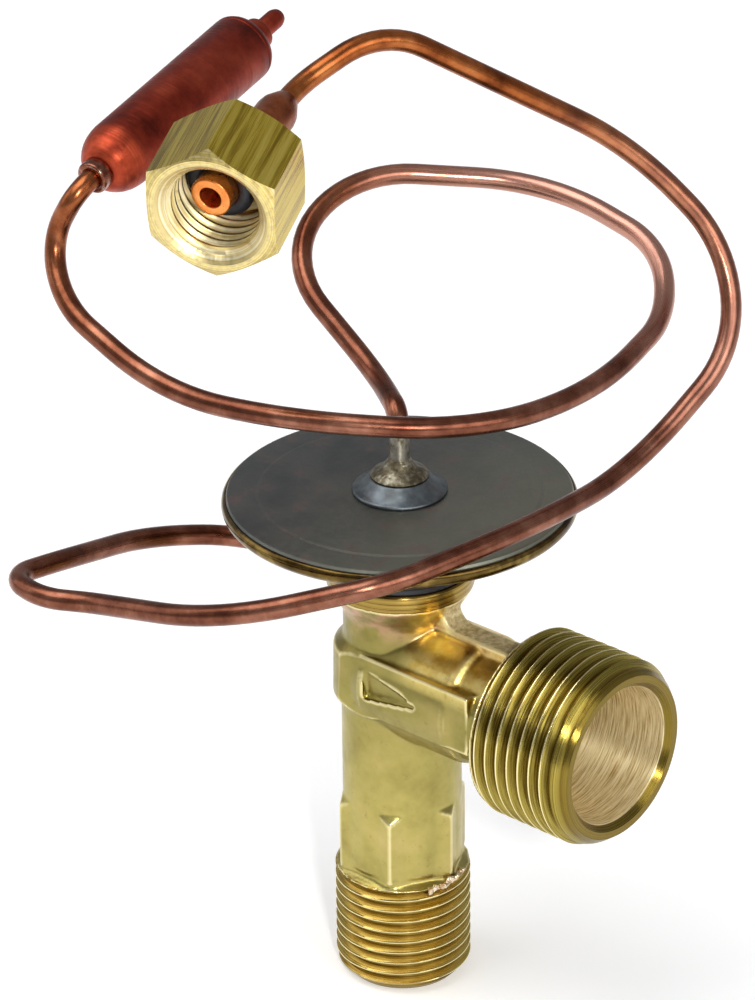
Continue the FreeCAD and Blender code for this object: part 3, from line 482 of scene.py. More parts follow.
# %% [markdown]
# ## Sensing bulb
#
# The bulb is a copper cylinder whose front end was spun down to a neck while it turned, which leaves rings on
# its shoulder. A short tinned collar joins the capillary, and a pinched tip closes the far end.

# %% Sensing bulb
BULB_FRONT = (-33.05, -10.19, 97.66)
BULB_AXIS = Vector((-0.1347, 0.9722, 0.1917)).normalized()

bulb = turned("bulb", [
    (1.5, -3.7), (2.0, -3.7), (2.4, -3.55), (2.75, -3.25), (3.1, -2.9), (3.45, -2.35), (3.72, -1.8),
    (3.95, -1.1), (4.08, -0.4), (4.15, 0.3), (4.15, 24.35), (3.6, 24.35), (3.6, 0.5), (3.4, -0.9),
    (2.95, -2.0), (2.3, -2.8), (1.5, -3.0),
], 96)
bulb_end = turned("bulb_end", [
    (1.1, 23.2), (3.55, 23.2), (3.55, 24.35), (4.15, 24.35), (4.1, 24.9), (3.75, 25.5), (2.9, 26.1),
    (2.15, 26.5), (1.95, 26.9), (1.95, 28.3), (1.7, 28.5), (1.1, 28.5),
], 96)
ferrule = turned("bulb_ferrule", [
    (1.21, -5.3), (1.75, -5.3), (1.95, -5.1), (1.95, -3.7), (1.5, -3.7), (1.5, -2.6), (1.21, -2.6),
], 64)
fill_tip = turned("fill_tip", [
    (0, 26.4), (1.1, 26.4), (1.1, 28.9), (1.18, 29.3), (1.18, 31.6), (0.95, 32.3), (0.5, 32.7), (0, 32.8),
], 48)
for piece, width in ((bulb, 0.1), (bulb_end, 0.2), (ferrule, 0.12), (fill_tip, 0.15)):
    soften(piece, width, 3, 15)
    stand(piece, BULB_FRONT, BULB_AXIS)
    shade(piece, 35)
    tell(piece)

# %% [markdown]
# ## Flare nut and the fitting in it
#
# The nut is cut from drawn hexagon bar, so its flats keep lengthwise lines, and its two ends are turned to a
# cone. Inside, a fine thread runs back to a shoulder. The copper fitting stands loose in it.

# %% Flare nut
NUT_MOUTH = (-0.523, -29.18, 105.931)
NUT_AXIS = Vector((-0.4147, 0.8891, 0.1939)).normalized()
NUT_CORNER = Vector((0.1083, -0.1633, 0.9806))
NUT_FLATS, NUT_LENGTH = 14.2875, 11.0
NUT_MAJOR, NUT_PITCH = 5.556, 1.27

nut = hexagon_bar(NUT_FLATS, 0.0, NUT_LENGTH)
nut.name = "flare_nut_threaded"
ends = turned("nut_ends", [
    (0, 0.0), (7.0, 0.0), (8.3, 0.75), (8.3, 10.25), (7.0, NUT_LENGTH), (0, NUT_LENGTH),
], 144)
cut_away(nut, ends, "INTERSECT")
bore = turned("nut_bore", [
    (0, -1), (6.35, -1), (6.35, 0), (4.95, 1.4), (4.95, 8.4), (2.9, 9.3), (2.9, 12), (0, 12),
], 96)
cut_away(nut, bore)
cut_away(nut, wound_thread("nut_tap", NUT_MAJOR, NUT_PITCH, -0.9, 7.6, 96, 0.52))
soften(nut, 0.05, 1, 40)
stand(nut, (0, 0, 0), NUT_AXIS)
plain = NUT_AXIS.to_track_quat("Z", "Y")
first_corner = plain @ Vector((0, 1, 0))
flat_corner = (NUT_CORNER - NUT_AXIS * NUT_CORNER.dot(NUT_AXIS)).normalized()
swing = first_corner.angle(flat_corner)
if first_corner.cross(flat_corner).dot(NUT_AXIS) < 0:
    swing = -swing
take(nut)
nut.matrix_world = Matrix.Translation(Vector(NUT_MOUTH) * MM) @ Matrix.Rotation(swing, 4, NUT_AXIS)
settle()
shade(nut, 25)
tell(nut)

# %% [markdown]
# ### The fitting's open end
#
# The copper end piece carries a swollen bead that the nut pushes against, and a rubber ring in front of it
# seals the joint. Both are turned pieces that lean a little to the nut's axis, as the loose joint hangs.

# %% Copper fitting and its rubber ring
FITTING_START = (-2.732, -26.853, 106.629)
FITTING_AXIS = Vector((-0.2852, 0.9358, 0.2074)).normalized()

fitting = turned("fitting", [
    (1.27, 0), (2.2, 0), (2.35, 0.2), (2.35, 3.6), (3.6, 3.6), (3.9, 3.9), (3.9, 4.2), (3.6, 4.5),
    (2.35, 4.7), (2.35, 16.4), (2.2, 17.3), (1.7, 18.5), (1.45, 19.1), (1.22, 19.3), (0, 19.3), (0, 15.0),
    (1.27, 14.3),
], 96)
soften(fitting, 0.12, 3, 20)
o_ring = turned("o_ring", [
    (2.35, 2.2), (2.6, 2.02), (3.2, 1.95), (3.7, 2.2), (3.95, 2.75), (3.7, 3.3), (3.2, 3.58), (2.35, 3.58),
], 72)
soften(o_ring, 0.15, 3, 15)
for piece in (fitting, o_ring):
    stand(piece, FITTING_START, FITTING_AXIS)
    shade(piece, 35)
    tell(piece)

# %% [markdown]
# ## Materials
#
# Every metal here is the same shader with other settings: a base colour that drifts between two or three
# tones, a roughness that drifts too, and a fine bump. All patterns read Object coordinates scaled to
# millimetres, so a number in a noise is a size on the real part.

# %% A helper for colours
def tone(red, green, blue):
    """A display colour, 0 to 255, as the linear values that a shader wants."""
    shares = (red / 255, green / 255, blue / 255)
    return tuple(((c + 0.055) / 1.055) ** 2.4 if c > 0.04 else c / 12.92 for c in shares) + (1,)


# %% [markdown]
# ### One class for every skin
#
# A skin is a chain of small nodes, and a chain is easier to read when each link is one word. The class below
# adds a node, wires it and hands back its output, so a pattern is written like a sum.

# %% A helper for metal skins
class Skin:
    """A material whose nodes are added one after another and wired by name."""

    def __init__(self, name, metallic=1.0, roughness=0.4):
        self.material = bpy.data.materials.new(name)
        self.material.use_nodes = True
        self.tree = self.material.node_tree
        self.shader = self.tree.nodes["Principled BSDF"]
        self.shader.inputs["Metallic"].default_value = metallic
        self.shader.inputs["Roughness"].default_value = roughness
        self.material.diffuse_color = (0.6, 0.6, 0.6, 1)
        self.place = self.node("ShaderNodeTexCoord")
        self.size = self.node("ShaderNodeMapping")
        self.size.inputs["Scale"].default_value = (1000, 1000, 1000)
        self.link(self.place.outputs["Object"], self.size.inputs["Vector"])
        self.here = self.size.outputs["Vector"]

    def node(self, kind, **settings):
        node = self.tree.nodes.new(kind)
        for name, value in settings.items():
            setattr(node, name, value)
        return node

    def link(self, source, target):
        self.tree.links.new(source, target)

    def noise(self, scale, detail=3.0, roughness=0.55, stretch=None, where=None):
        """Noise with a feature size of about 1 / scale millimetres, stretched along an axis if asked."""
        source = where or self.here
        if stretch:
            mapping = self.node("ShaderNodeMapping")
            mapping.inputs["Scale"].default_value = stretch
            self.link(source, mapping.inputs["Vector"])
            source = mapping.outputs["Vector"]
        node = self.node("ShaderNodeTexNoise")
        node.inputs["Scale"].default_value = scale
        node.inputs["Detail"].default_value = detail
        node.inputs["Roughness"].default_value = roughness
        self.link(source, node.inputs["Vector"])
        return node.outputs["Fac"]

    def ramp(self, value, *stops):
        """A colour ramp: each stop is a position and a display colour."""
        node = self.node("ShaderNodeValToRGB")
        while len(node.color_ramp.elements) < len(stops):
            node.color_ramp.elements.new(0.5)
        for element, (position, *colour) in zip(node.color_ramp.elements, stops):
            element.position = position
            element.color = tone(*colour)
        self.link(value, node.inputs["Fac"])
        return node.outputs["Color"]

    def span(self, value, low, high, out_low, out_high):
        """Stretches a value from one range to another and holds it at the ends."""
        node = self.node("ShaderNodeMapRange")
        for name, number in (("From Min", low), ("From Max", high), ("To Min", out_low),
                             ("To Max", out_high)):
            node.inputs[name].default_value = number
        self.link(value, node.inputs["Value"])
        return node.outputs["Result"]

    def mix(self, share, a, b, kind="MIX"):
        """Colour b over colour a by a share from 0 to 1."""
        node = self.node("ShaderNodeMix", data_type="RGBA", blend_type=kind)
        for value, name in ((share, "Factor_Float"), (a, "A_Color"), (b, "B_Color")):
            socket = next(s for s in node.inputs if s.identifier == name)
            if isinstance(value, (int, float, tuple)):
                socket.default_value = value
            else:
                self.link(value, socket)
        return next(s for s in node.outputs if s.identifier == "Result_Color")

    def sums(self, kind, a, b):
        """One Math node, such as ADD or MULTIPLY, on two values or numbers."""
        node = self.node("ShaderNodeMath", operation=kind)
        for value, socket in ((a, node.inputs[0]), (b, node.inputs[1])):
            if isinstance(value, (int, float)):
                socket.default_value = value
            else:
                self.link(value, socket)
        return node.outputs["Value"]

    def colour(self, value):
        self.link(value, self.shader.inputs["Base Color"])

    def rough(self, value):
        self.link(value, self.shader.inputs["Roughness"])

    def bump(self, value, height, after=None):
        """Raises the surface by a height in millimetres where the value is 1."""
        node = self.node("ShaderNodeBump")
        node.inputs["Strength"].default_value = 1.0
        node.inputs["Distance"].default_value = height * MM
        self.link(value, node.inputs["Height"])
        if after:
            self.link(after, node.inputs["Normal"])
        self.link(node.outputs["Normal"], self.shader.inputs["Normal"])
        return node.outputs["Normal"]

    def brushed(self, start, axis, amount):
        """Draws the shine out across the rings that a lathe leaves round an axis."""
        arm = self.node("ShaderNodeVectorMath", operation="SUBTRACT")
        arm.inputs[1].default_value = start
        self.link(self.here, arm.inputs[0])
        round_way = self.node("ShaderNodeVectorMath", operation="CROSS_PRODUCT")
        round_way.inputs[0].default_value = axis
        self.link(arm.outputs["Vector"], round_way.inputs[1])
        self.link(round_way.outputs["Vector"], self.shader.inputs["Tangent"])
        self.shader.inputs["Anisotropic"].default_value = amount
        self.shader.inputs["Anisotropic Rotation"].default_value = 0.25

    def metal(self, value):
        self.link(value, self.shader.inputs["Metallic"])

    def split(self, where=None):
        node = self.node("ShaderNodeSeparateXYZ")
        self.link(where or self.here, node.inputs[0])
        return node.outputs

    def rings(self, own, fineness):
        """The radius about the Z of own coordinates, and noise drawn out into rings round it."""
        x, y, z = self.split(own)
        squares = self.sums("ADD", self.sums("MULTIPLY", x, x), self.sums("MULTIPLY", y, y))
        radius = self.sums("POWER", squares, 0.5)
        flat = self.node("ShaderNodeCombineXYZ")
        self.link(radius, flat.inputs["X"])
        self.link(z, flat.inputs["Z"])
        return radius, self.noise(fineness, 3, 0.6, where=flat.outputs["Vector"])

    def along(self, start, axis):
        """Coordinates whose Z runs along a piece's own axis, from a start in millimetres."""
        node = self.node("ShaderNodeMapping", vector_type="TEXTURE")
        node.inputs["Location"].default_value = start
        node.inputs["Rotation"].default_value = Vector(axis).to_track_quat("Z", "Y").to_euler()
        self.link(self.here, node.inputs["Vector"])
        return node.outputs["Vector"]


def wear(skin, *pieces):
    """Gives pieces a skin in place of what they had."""
    for piece in pieces:
        piece.data.materials.clear()
        piece.data.materials.append(skin.material)
        print(piece.name, "wears", skin.material.name)


# %% [markdown]
# ### Forged brass
#
# Fresh from the pickling bath, forged brass is satin and olive-gold. The top of the neck is a brighter gold,
# a pink tint lies under the head, and the strip where the dies met is rough and grey-brown.

# %% Forged brass
forged = Skin("forged_brass", roughness=0.36)
fx, fy, fz = forged.split()
drift = forged.noise(0.16, 4, 0.6)
olive = forged.ramp(drift, (0.3, 152, 139, 76), (0.5, 176, 163, 93), (0.7, 192, 174, 108))
on_neck = forged.sums("MULTIPLY", forged.span(fx, 4.5, 8.5, 0, 1), forged.span(fz, 42.0, 45.5, 0, 1))
amber = forged.ramp(forged.noise(0.5, 4, 0.65), (0.35, 232, 194, 96), (0.65, 255, 236, 156))
# painted shade: the forging is darkened upwards from 24 to 44 mm towards the head, where the head's shadow
# falls
painted_head_shade = forged.mix(forged.span(fz, 24, 44, 0, 1), olive, tone(206, 206, 200), "MULTIPLY")
warm_skin = forged.mix(on_neck, painted_head_shade, amber)
pink_patches = forged.span(forged.noise(0.35, 3), 0.42, 0.6, 0, 1)
pink = forged.sums("MULTIPLY", forged.span(fz, 45.5, 49.0, 0, 0.75), pink_patches)
warm_skin = forged.mix(pink, warm_skin, tone(206, 160, 132))
side_way = forged.sums("ABSOLUTE", fy, 0.0)
on_strip = forged.sums("MULTIPLY", forged.span(side_way, 1.7, 1.3, 0, 1), forged.sums(
    "MULTIPLY", forged.span(fz, 46.2, 46.9, 0, 1), forged.span(fx, 6.8, 7.6, 0, 1)))
strip = forged.ramp(forged.noise(1.6, 4, 0.7), (0.35, 170, 148, 98), (0.6, 222, 204, 156))
warm_skin = forged.mix(on_strip, warm_skin, strip)
stains = forged.span(forged.noise(0.9, 4, 0.7), 0.60, 0.74, 0, 0.55)
stained = forged.mix(stains, warm_skin, tone(132, 112, 66))
# painted highlight: sharp convex edges, found by pointiness, are lightened to pale gold as if they catch the
# light
painted_edge_highlight = forged.span(forged.node("ShaderNodeNewGeometry").outputs["Pointiness"], 0.508, 0.53, 0, 0.7)
forged.colour(forged.mix(painted_edge_highlight, stained, tone(246, 232, 176)))
forged.rough(forged.sums("ADD", forged.span(forged.noise(0.5, 3), 0.3, 0.7, 0.28, 0.42), forged.sums(
    "MULTIPLY", on_strip, 0.2)))
forged.metal(forged.sums("SUBTRACT", 1.0, forged.sums("MULTIPLY", on_strip, 0.7)))
grain = forged.bump(forged.noise(2.4, 4, 0.65), 0.014)
dents = forged.bump(forged.noise(0.45, 2), 0.05, grain)
forged.bump(forged.sums("MULTIPLY", on_strip, forged.noise(1.2, 3)), 0.14, dents)
wear(forged, forging)

# %% [markdown]
# ### Cut brass
#
# The threads and mouths are turned, so fine rings go round their axis. The crests are burnished by handling
# and lightened further as a painted highlight, the grooves are darkened as painted shade, and a bore is
# duller than the outside.

# %% Cut brass
def cut_brass(name, start, axis, light, deep, crest=None, root=None, bore=None):
    """Turned brass about an axis. crest, root and bore are radii where it turns bright, dark or dull."""
    skin = Skin(name, roughness=0.24)
    skin.brushed(start, axis, 0.85)
    own = skin.along(start, axis)
    radius, lines = skin.rings(own, 5.0)
    colour = skin.ramp(lines, (0.36, *deep), (0.6, *light))
    patches = skin.span(skin.noise(0.25, 4), 0.35, 0.65, 0, 0.35)
    colour = skin.mix(patches, colour, tone(*light))
    rough = skin.span(lines, 0.3, 0.7, 0.2, 0.36)
    if crest:
        # painted shade: the thread's roots are darkened
        colour = skin.mix(skin.span(radius, root + 0.05, root + 0.4, 0.7, 0), colour, tone(112, 90, 34))
        rough = skin.sums("MULTIPLY", rough, skin.span(radius, crest - 0.2, crest - 0.1, 1, 0.35))
        # the crests are lightened, partly as burnished metal and partly as a painted highlight
        colour = skin.mix(skin.span(radius, crest - 0.06, crest - 0.02, 0, 1), colour, tone(240, 226, 168))
    if bore:
        inside = skin.span(radius, bore + 0.12, bore + 0.03, 0, 1)
        arcs = skin.noise(2.6, 4, 0.7, (0.1, 0.1, 2.4), own)
        dull = skin.ramp(arcs, (0.36, 172, 142, 88), (0.5, 228, 208, 158), (0.64, 250, 238, 200))
        colour = skin.mix(inside, colour, dull)
        rough = skin.sums("ADD", rough, skin.sums("MULTIPLY", inside, 0.16))
        skin.metal(skin.sums("SUBTRACT", 1.0, skin.sums("MULTIPLY", inside, 0.45)))
        skin.bump(arcs, 0.03, skin.bump(lines, 0.008))
    else:
        skin.bump(lines, 0.008)
    skin.colour(colour)
    skin.rough(rough)
    return skin


INLET_ROOT, OUTLET_ROOT = 7.07, 10.14

inlet_brass = cut_brass("inlet_brass", (0, 0, 0), (0, 0, 1), (214, 188, 104), (168, 134, 52), INLET_MAJOR,
                        INLET_ROOT)
# painted shade: the outlet's cut brass is a darker copy of the inlet's
outlet_brass = cut_brass("outlet_brass", (0, 0, OUTLET_HEIGHT), (1, 0, 0), (172, 154, 74), (98, 82, 30),
                         OUTLET_MAJOR, OUTLET_ROOT, OUTLET_BORE)
# painted shade: the head's seat under the head is a darker copy as well
seat_brass = cut_brass("seat_brass", (0, 0, 0), (0, 0, 1), (172, 144, 74), (100, 76, 32))
wear(inlet_brass, inlet_end)
wear(outlet_brass, outlet_end)
wear(seat_brass, head_seat)

torn = Skin("torn_brass", roughness=0.34)
torn.colour(torn.ramp(torn.noise(1.4, 4, 0.7), (0.35, 150, 124, 78), (0.5, 222, 196, 160),
                      (0.65, 246, 232, 214)))
torn.bump(torn.noise(4.0, 3), 0.02)
wear(torn, burr)

# %% [markdown]
# ### Drawn brass of the nut
#
# The bar was pulled through a die, which draws dark and light lines along the flats. The stretched noise
# runs along the nut's own axis. The turned face and the hole have rings instead, and are more silvery.

# %% Nut brass
nut_skin = Skin("nut_brass", roughness=0.3)
nut_own = nut_skin.along(NUT_MOUTH, NUT_AXIS)
nut_radius, marks = nut_skin.rings(nut_own, 4.0)
streaks = nut_skin.noise(1.4, 4, 0.65, (1, 1, 0.035), nut_own)
drawn = nut_skin.ramp(streaks, (0.36, 150, 122, 36), (0.5, 206, 178, 64), (0.62, 224, 200, 96))
faced = nut_skin.ramp(marks, (0.36, 196, 172, 106), (0.52, 226, 210, 162), (0.66, 246, 238, 212))
facing = nut_skin.node("ShaderNodeVectorMath", operation="DOT_PRODUCT")
facing.inputs[1].default_value = -NUT_AXIS
nut_skin.link(nut_skin.node("ShaderNodeNewGeometry").outputs["Normal"], facing.inputs[0])
on_face = nut_skin.span(facing.outputs["Value"], 0.2, 0.4, 0, 0.55)
in_hole = nut_skin.span(nut_radius, 6.5, 6.4, 0, 0.9)
silvered = nut_skin.sums("MAXIMUM", on_face, in_hole)
nut_skin.colour(nut_skin.mix(silvered, drawn, faced))
nut_skin.rough(nut_skin.sums("ADD", nut_skin.span(streaks, 0.3, 0.7, 0.2, 0.36), nut_skin.sums(
    "MULTIPLY", silvered, 0.12)))
nut_skin.bump(streaks, 0.008)
wear(nut_skin, nut)

# %% [markdown]
# ### Plated steel of the head
#
# The cap is dark zinc with a faint warm bloom, the cup under it is yellow passivated and shiny, and the
# collar is blue-grey. The stem is tinned and the braze round it has gone brown.

# %% Head metals
cap_skin = Skin("dark_steel", roughness=0.45)
cap_across = cap_skin.split()[0]
grey = cap_skin.ramp(cap_skin.noise(0.13, 4, 0.6), (0.3, 86, 88, 88), (0.55, 104, 105, 102),
                     (0.75, 116, 115, 106))
# painted light: the cap is lightened towards +X, its lit side facing the right-hand lamp
cap_colour = cap_skin.mix(cap_skin.span(cap_across, -8, 19, 0, 0.7), grey, tone(146, 148, 130))
blush = cap_skin.span(cap_skin.noise(0.26, 3, 0.6), 0.56, 0.7, 0, 0.5)
cap_skin.colour(cap_skin.mix(blush, cap_colour, tone(132, 104, 104)))
cap_skin.rough(cap_skin.span(cap_skin.noise(1.2, 4), 0.3, 0.7, 0.36, 0.52))
cap_skin.bump(cap_skin.noise(5.0, 3), 0.004)
wear(cap_skin, upper_cap)

cup_skin = Skin("gold_plate", roughness=0.16)
# painted reflection: the yellow plating's tones are darkened, as the shiny cup mirrors dark surroundings
cup_skin.colour(cup_skin.ramp(cup_skin.noise(0.2, 4, 0.65), (0.32, 62, 46, 20), (0.5, 98, 78, 40),
                              (0.68, 158, 134, 74)))
cup_skin.rough(cup_skin.span(cup_skin.noise(0.8, 3), 0.3, 0.7, 0.12, 0.26))
cup_skin.bump(cup_skin.noise(1.2, 3), 0.008)
wear(cup_skin, lower_cup)

collar_skin = Skin("collar_steel", roughness=0.34)
collar_skin.colour(collar_skin.ramp(collar_skin.noise(0.6, 3), (0.3, 84, 91, 96), (0.7, 116, 123, 126)))
collar_skin.rough(collar_skin.span(collar_skin.noise(2.0, 3), 0.3, 0.7, 0.28, 0.44))
collar_skin.bump(collar_skin.noise(3.0, 3), 0.006)
wear(collar_skin, collar)

braze_skin = Skin("braze", roughness=0.4)
braze_skin.colour(braze_skin.ramp(braze_skin.noise(1.1, 4, 0.65), (0.3, 70, 62, 48), (0.52, 112, 104, 84),
                                  (0.7, 168, 164, 148)))
braze_skin.bump(braze_skin.noise(1.6, 3), 0.12)
wear(braze_skin, braze)

stem_skin = Skin("stem_steel", roughness=0.3)
stem_skin.colour(stem_skin.ramp(stem_skin.noise(0.8, 4, 0.7), (0.32, 128, 118, 96), (0.5, 196, 190, 176),
                                (0.7, 220, 216, 206)))
stem_skin.bump(stem_skin.noise(1.8, 3), 0.03)
wear(stem_skin, stem)

rubber = Skin("black_rubber", metallic=0.0, roughness=0.45)
rubber.colour(rubber.ramp(rubber.noise(1.5, 3), (0.3, 18, 22, 30), (0.7, 34, 38, 46)))
rubber.bump(rubber.noise(4.0, 3), 0.01)
wear(rubber, gasket, o_ring)

# %% [markdown]
# ### Copper
#
# Drawn copper goes rose, brown and purple as it ages. The tone drifts along the tube, and thin scratches run
# lengthwise, which read the tube's UV map. Higher up the tubes are more orange.

# %% Copper skins
CAPILLARY_LENGTH, EQUALIZER_LENGTH, TUBE_GIRTH = 199.0, 233.0, 7.7


def tube_copper(name, length, pale):
    """Tarnished drawn copper. The UV map's U is the way along, pale the share of a painted pink highlight on
    the far side of the loop.
    """
    skin = Skin(name, roughness=0.26)
    uv = skin.node("ShaderNodeMapping")
    uv.inputs["Scale"].default_value = (length, TUBE_GIRTH, 1)
    skin.link(skin.place.outputs["UV"], uv.inputs["Vector"])
    height = skin.split()[2]
    warm = skin.span(height, 78, 104, 0, 1)
    patches = skin.noise(0.22, 4, 0.62)
    low = skin.ramp(patches, (0.3, 86, 46, 34), (0.5, 124, 76, 58), (0.7, 158, 108, 88))
    high = skin.ramp(patches, (0.3, 104, 52, 24), (0.5, 156, 86, 44), (0.7, 188, 116, 66))
    # painted highlight: the far side of the loop, beyond y 18 mm, is lightened to pink
    painted_loop_highlight = skin.span(skin.split()[1], 18, 32, 0, pale)
    skin.colour(skin.mix(painted_loop_highlight, skin.mix(warm, low, high), tone(204, 152, 134)))
    scratches = skin.noise(2.0, 4, 0.7, (0.12, 3.0, 1), uv.outputs["Vector"])
    skin.rough(skin.span(scratches, 0.3, 0.7, 0.2, 0.36))
    skin.bump(scratches, 0.006, skin.bump(skin.noise(0.6, 2), 0.02))
    return skin


wear(tube_copper("capillary_copper", CAPILLARY_LENGTH, 0.75), capillary)
wear(tube_copper("equalizer_copper", EQUALIZER_LENGTH, 0.2), equalizer)

bulb_skin = Skin("red_copper", roughness=0.42)
bulb_own = bulb_skin.along(BULB_FRONT, BULB_AXIS)
bulb_way = bulb_skin.split(bulb_own)[2]
body_tone = bulb_skin.ramp(bulb_skin.noise(0.2, 4, 0.6), (0.3, 92, 32, 24), (0.5, 138, 50, 34),
                           (0.7, 162, 70, 48))
end_tone = bulb_skin.ramp(bulb_skin.noise(0.5, 4, 0.6), (0.3, 140, 52, 34), (0.7, 190, 82, 54))
front = bulb_skin.span(bulb_way, 0.6, -0.6, 0, 1)
bulb_skin.colour(bulb_skin.mix(front, body_tone, end_tone))
turning = bulb_skin.noise(3.2, 3, 0.6, (0.02, 0.02, 1), bulb_own)
bulb_skin.rough(bulb_skin.span(turning, 0.3, 0.7, 0.34, 0.52))
bulb_skin.bump(turning, 0.05)
wear(bulb_skin, bulb, bulb_end, fill_tip)

ferrule_skin = Skin("tinned_copper", roughness=0.26)
ferrule_skin.colour(ferrule_skin.ramp(ferrule_skin.noise(0.7, 4, 0.7), (0.35, 104, 54, 40),
                                      (0.52, 140, 92, 74), (0.7, 186, 160, 150)))
ferrule_skin.bump(ferrule_skin.noise(1.4, 3), 0.03)
wear(ferrule_skin, ferrule)

fitting_skin = Skin("bright_copper", roughness=0.3)
fitting_own = fitting_skin.along(FITTING_START, FITTING_AXIS)
fitting_way = fitting_skin.split(fitting_own)[2]
clean = fitting_skin.ramp(fitting_skin.noise(0.6, 4, 0.6), (0.3, 222, 124, 60), (0.7, 246, 168, 96))
aged = fitting_skin.ramp(fitting_skin.noise(0.4, 4, 0.6), (0.3, 120, 58, 32), (0.7, 174, 98, 58))
fitting_skin.colour(fitting_skin.mix(fitting_skin.span(fitting_way, 10, 13, 0, 1), clean, aged))
fitting_skin.rough(fitting_skin.span(fitting_skin.noise(2.0, 3), 0.3, 0.7, 0.24, 0.4))
fitting_skin.bump(fitting_skin.noise(3.0, 3), 0.008)
wear(fitting_skin, fitting)

# %% [markdown]
# ### Pieces inside the body
#
# The valve train, the seat, the spring, the adjuster and the strainer are the solids themselves. They are
# hidden at rest, but each still gets a real metal.

# %% Inner metals
inner_steel = Skin("inner_steel", roughness=0.3)
inner_steel.colour(inner_steel.ramp(inner_steel.noise(0.8, 3), (0.3, 176, 176, 176), (0.7, 206, 206, 204)))
inner_steel.bump(inner_steel.noise(4.0, 3), 0.004)
inner_brass = cut_brass("inner_brass", (0, 0, 0), (0, 0, 1), (216, 192, 116), (190, 164, 86))
INSIDE = {
    "diaphragm": inner_steel, "push_rod": inner_steel, "valve_seat": inner_steel, "valve_ball": inner_steel,
    "superheat_spring": inner_steel, "strainer_basket": inner_steel, "diaphragm_pad": inner_brass,
    "ball_carrier": inner_brass, "spring_seat": inner_brass, "adjuster_nut": inner_brass,
    "strainer_ring": inner_brass, "rod_seal": rubber,
}
for name, skin in INSIDE.items():
    wear(skin, nodes[name])
print("solids with their own metal:", len(INSIDE))

# %% [markdown]
# ## Each piece takes its body
#
# A piece that stands for a solid replaces it, and rides on the body that the solid belongs to, so it moves
# with the joints.

# %% Riding and replacing
DRESSED = [
    (forging, "valve", "valve_body", "forged_brass"),
    (inlet_end, "valve", None, "forged_brass"),
    (outlet_end, "valve", None, "forged_brass"),
    (head_seat, "valve", None, "forged_brass"),
    (burr, "valve", None, "forged_brass"),
    (lower_cup, "valve", "head_lower_cup", "gold_plated_steel"),
    (upper_cap, "valve", "head_upper_cap", "dark_steel"),
    (collar, "valve", "head_collar", "collar_steel"),
    (braze, "valve", "stem_braze", "braze_alloy"),
    (stem, "valve", "capillary_stem", "stem_steel"),
    (gasket, "valve", "head_gasket", "black_rubber"),
    (capillary, "valve", "capillary_tube", "copper"),
    (equalizer, "valve", "equalizer_tube", "copper"),
    (bulb, "valve", "bulb_shell", "red_copper"),
    (bulb_end, "valve", "bulb_end_cap", "red_copper"),
    (fill_tip, "valve", "bulb_fill_tip", "red_copper"),
    (ferrule, "valve", "bulb_collar", "copper"),
    (fitting, "valve", "equalizer_fitting", "fitting_copper"),
    (o_ring, "valve", "nut_o_ring", "black_rubber"),
    (nut, "nut", "flare_nut", "nut_brass"),
]
for piece, body, node, slot in DRESSED:
    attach(piece, body)
    if node:
        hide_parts(node)
print("pieces dressed:", len(DRESSED))

# %% [markdown]
# ## Floor
#
# The floor is plain and pale and runs past the view on all sides. It glows a little, but only for rays that
# come from the eye or from a mirror, so it looks white without lighting the part from below.

# %% Floor
FLOOR_WIDTH, FLOOR_DEPTH = 40.0, -0.00002
FLOOR_GLOW = 0.22

clear_selection()
bpy.ops.mesh.primitive_plane_add(size=FLOOR_WIDTH, location=(0, 0, FLOOR_DEPTH))
floor = bpy.context.object
floor.name = "floor"
pale = Skin("floor_paint", metallic=0.0, roughness=0.9)
pale.colour(pale.ramp(pale.noise(0.004, 2), (0.3, 240, 240, 240), (0.7, 246, 246, 246)))
rays = pale.node("ShaderNodeLightPath").outputs
mirrored = pale.sums("MAXIMUM", rays["Is Glossy Ray"], rays["Is Transmission Ray"])
seen = pale.sums("MAXIMUM", rays["Is Camera Ray"], mirrored)
pale.shader.inputs["Emission Color"].default_value = (1, 1, 1, 1)
pale.link(pale.sums("MULTIPLY", seen, FLOOR_GLOW), pale.shader.inputs["Emission Strength"])
wear(pale, floor)

# %% [markdown]
# ## Light
#
# Large soft lamps give the metals broad pale bands to mirror, and a small lamp beside the camera draws the
# thin bright lines along the threads. A dim even sky fills what they leave dark.

# %% Light
TARGET = Vector((-3.367, -0.101, 60.053)) * MM
FLASH_WAY = Vector((0.676, -0.588, 0.441))
FLASH_DISTANCE = 0.62


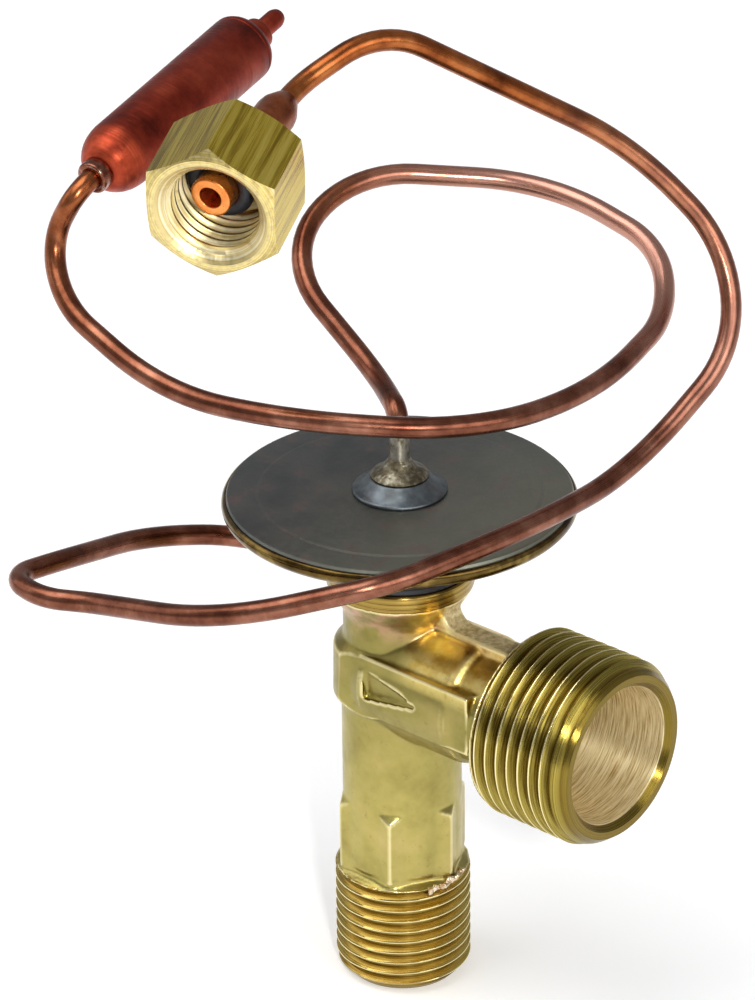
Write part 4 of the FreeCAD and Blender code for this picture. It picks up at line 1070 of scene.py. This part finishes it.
def lamp(name, position, size, watts):
    """Adds a square lamp that looks at the middle of the part. Its position and size are in metres."""
    data = bpy.data.lights.new(name, "AREA")
    data.shape = "SQUARE"
    data.size = size
    data.energy = watts
    light = bpy.data.objects.new(name, data)
    bpy.context.scene.collection.objects.link(light)
    light.location = position
    light.rotation_euler = (TARGET - Vector(position)).to_track_quat("-Z", "Y").to_euler()
    print(name, "lamp:", watts, "W")


lamp("flash", TARGET + FLASH_WAY * FLASH_DISTANCE, 0.035, 1.7)
lamp("overhead", (-0.25, -0.35, 1.1), 0.9, 7.5)
lamp("side", (-0.9, -0.5, 0.5), 0.7, 1.7)
lamp("right", (0.8, -0.1, 0.45), 0.5, 2.3)

world = bpy.data.worlds.new("studio")
world.use_nodes = True
bpy.context.scene.world = world
sky = world.node_tree.nodes["Background"]
sky.inputs["Color"].default_value = (0.95, 0.97, 1.0, 1)
sky.inputs["Strength"].default_value = 0.38

# %% [markdown]
# ## Camera
#
# The camera stands where the photographer's stood. Its place, its three directions and its focal length in
# pixels were fitted to the photograph together with the sizes of the part.

# %% Camera
CAMERA_PLACE = Vector((356.34, -398.35, 333.27)) * MM
RIGHT = Vector((0.7453, 0.6667, -0.0094))
OVER = Vector((-0.2962, 0.3438, 0.8911))
BACK = Vector((0.5973, -0.6613, 0.4537))
FOCAL_PIXELS, FRAME_HEIGHT = 5288.19, 1000
SENSOR_HEIGHT = 24.0
camera_data = bpy.data.cameras.new("camera")
camera_data.sensor_fit = "VERTICAL"
camera_data.sensor_height = SENSOR_HEIGHT
camera_data.lens = FOCAL_PIXELS / FRAME_HEIGHT * SENSOR_HEIGHT
camera_data.clip_start = 0.01
camera = bpy.data.objects.new("camera", camera_data)
bpy.context.scene.collection.objects.link(camera)
camera.matrix_world = Matrix((
    (RIGHT.x, OVER.x, BACK.x, CAMERA_PLACE.x),
    (RIGHT.y, OVER.y, BACK.y, CAMERA_PLACE.y),
    (RIGHT.z, OVER.z, BACK.z, CAMERA_PLACE.z),
    (0, 0, 0, 1),
))
bpy.context.scene.camera = camera
bpy.context.scene.view_settings.view_transform = "Standard"
print("lens:", round(camera_data.lens, 1), "mm")
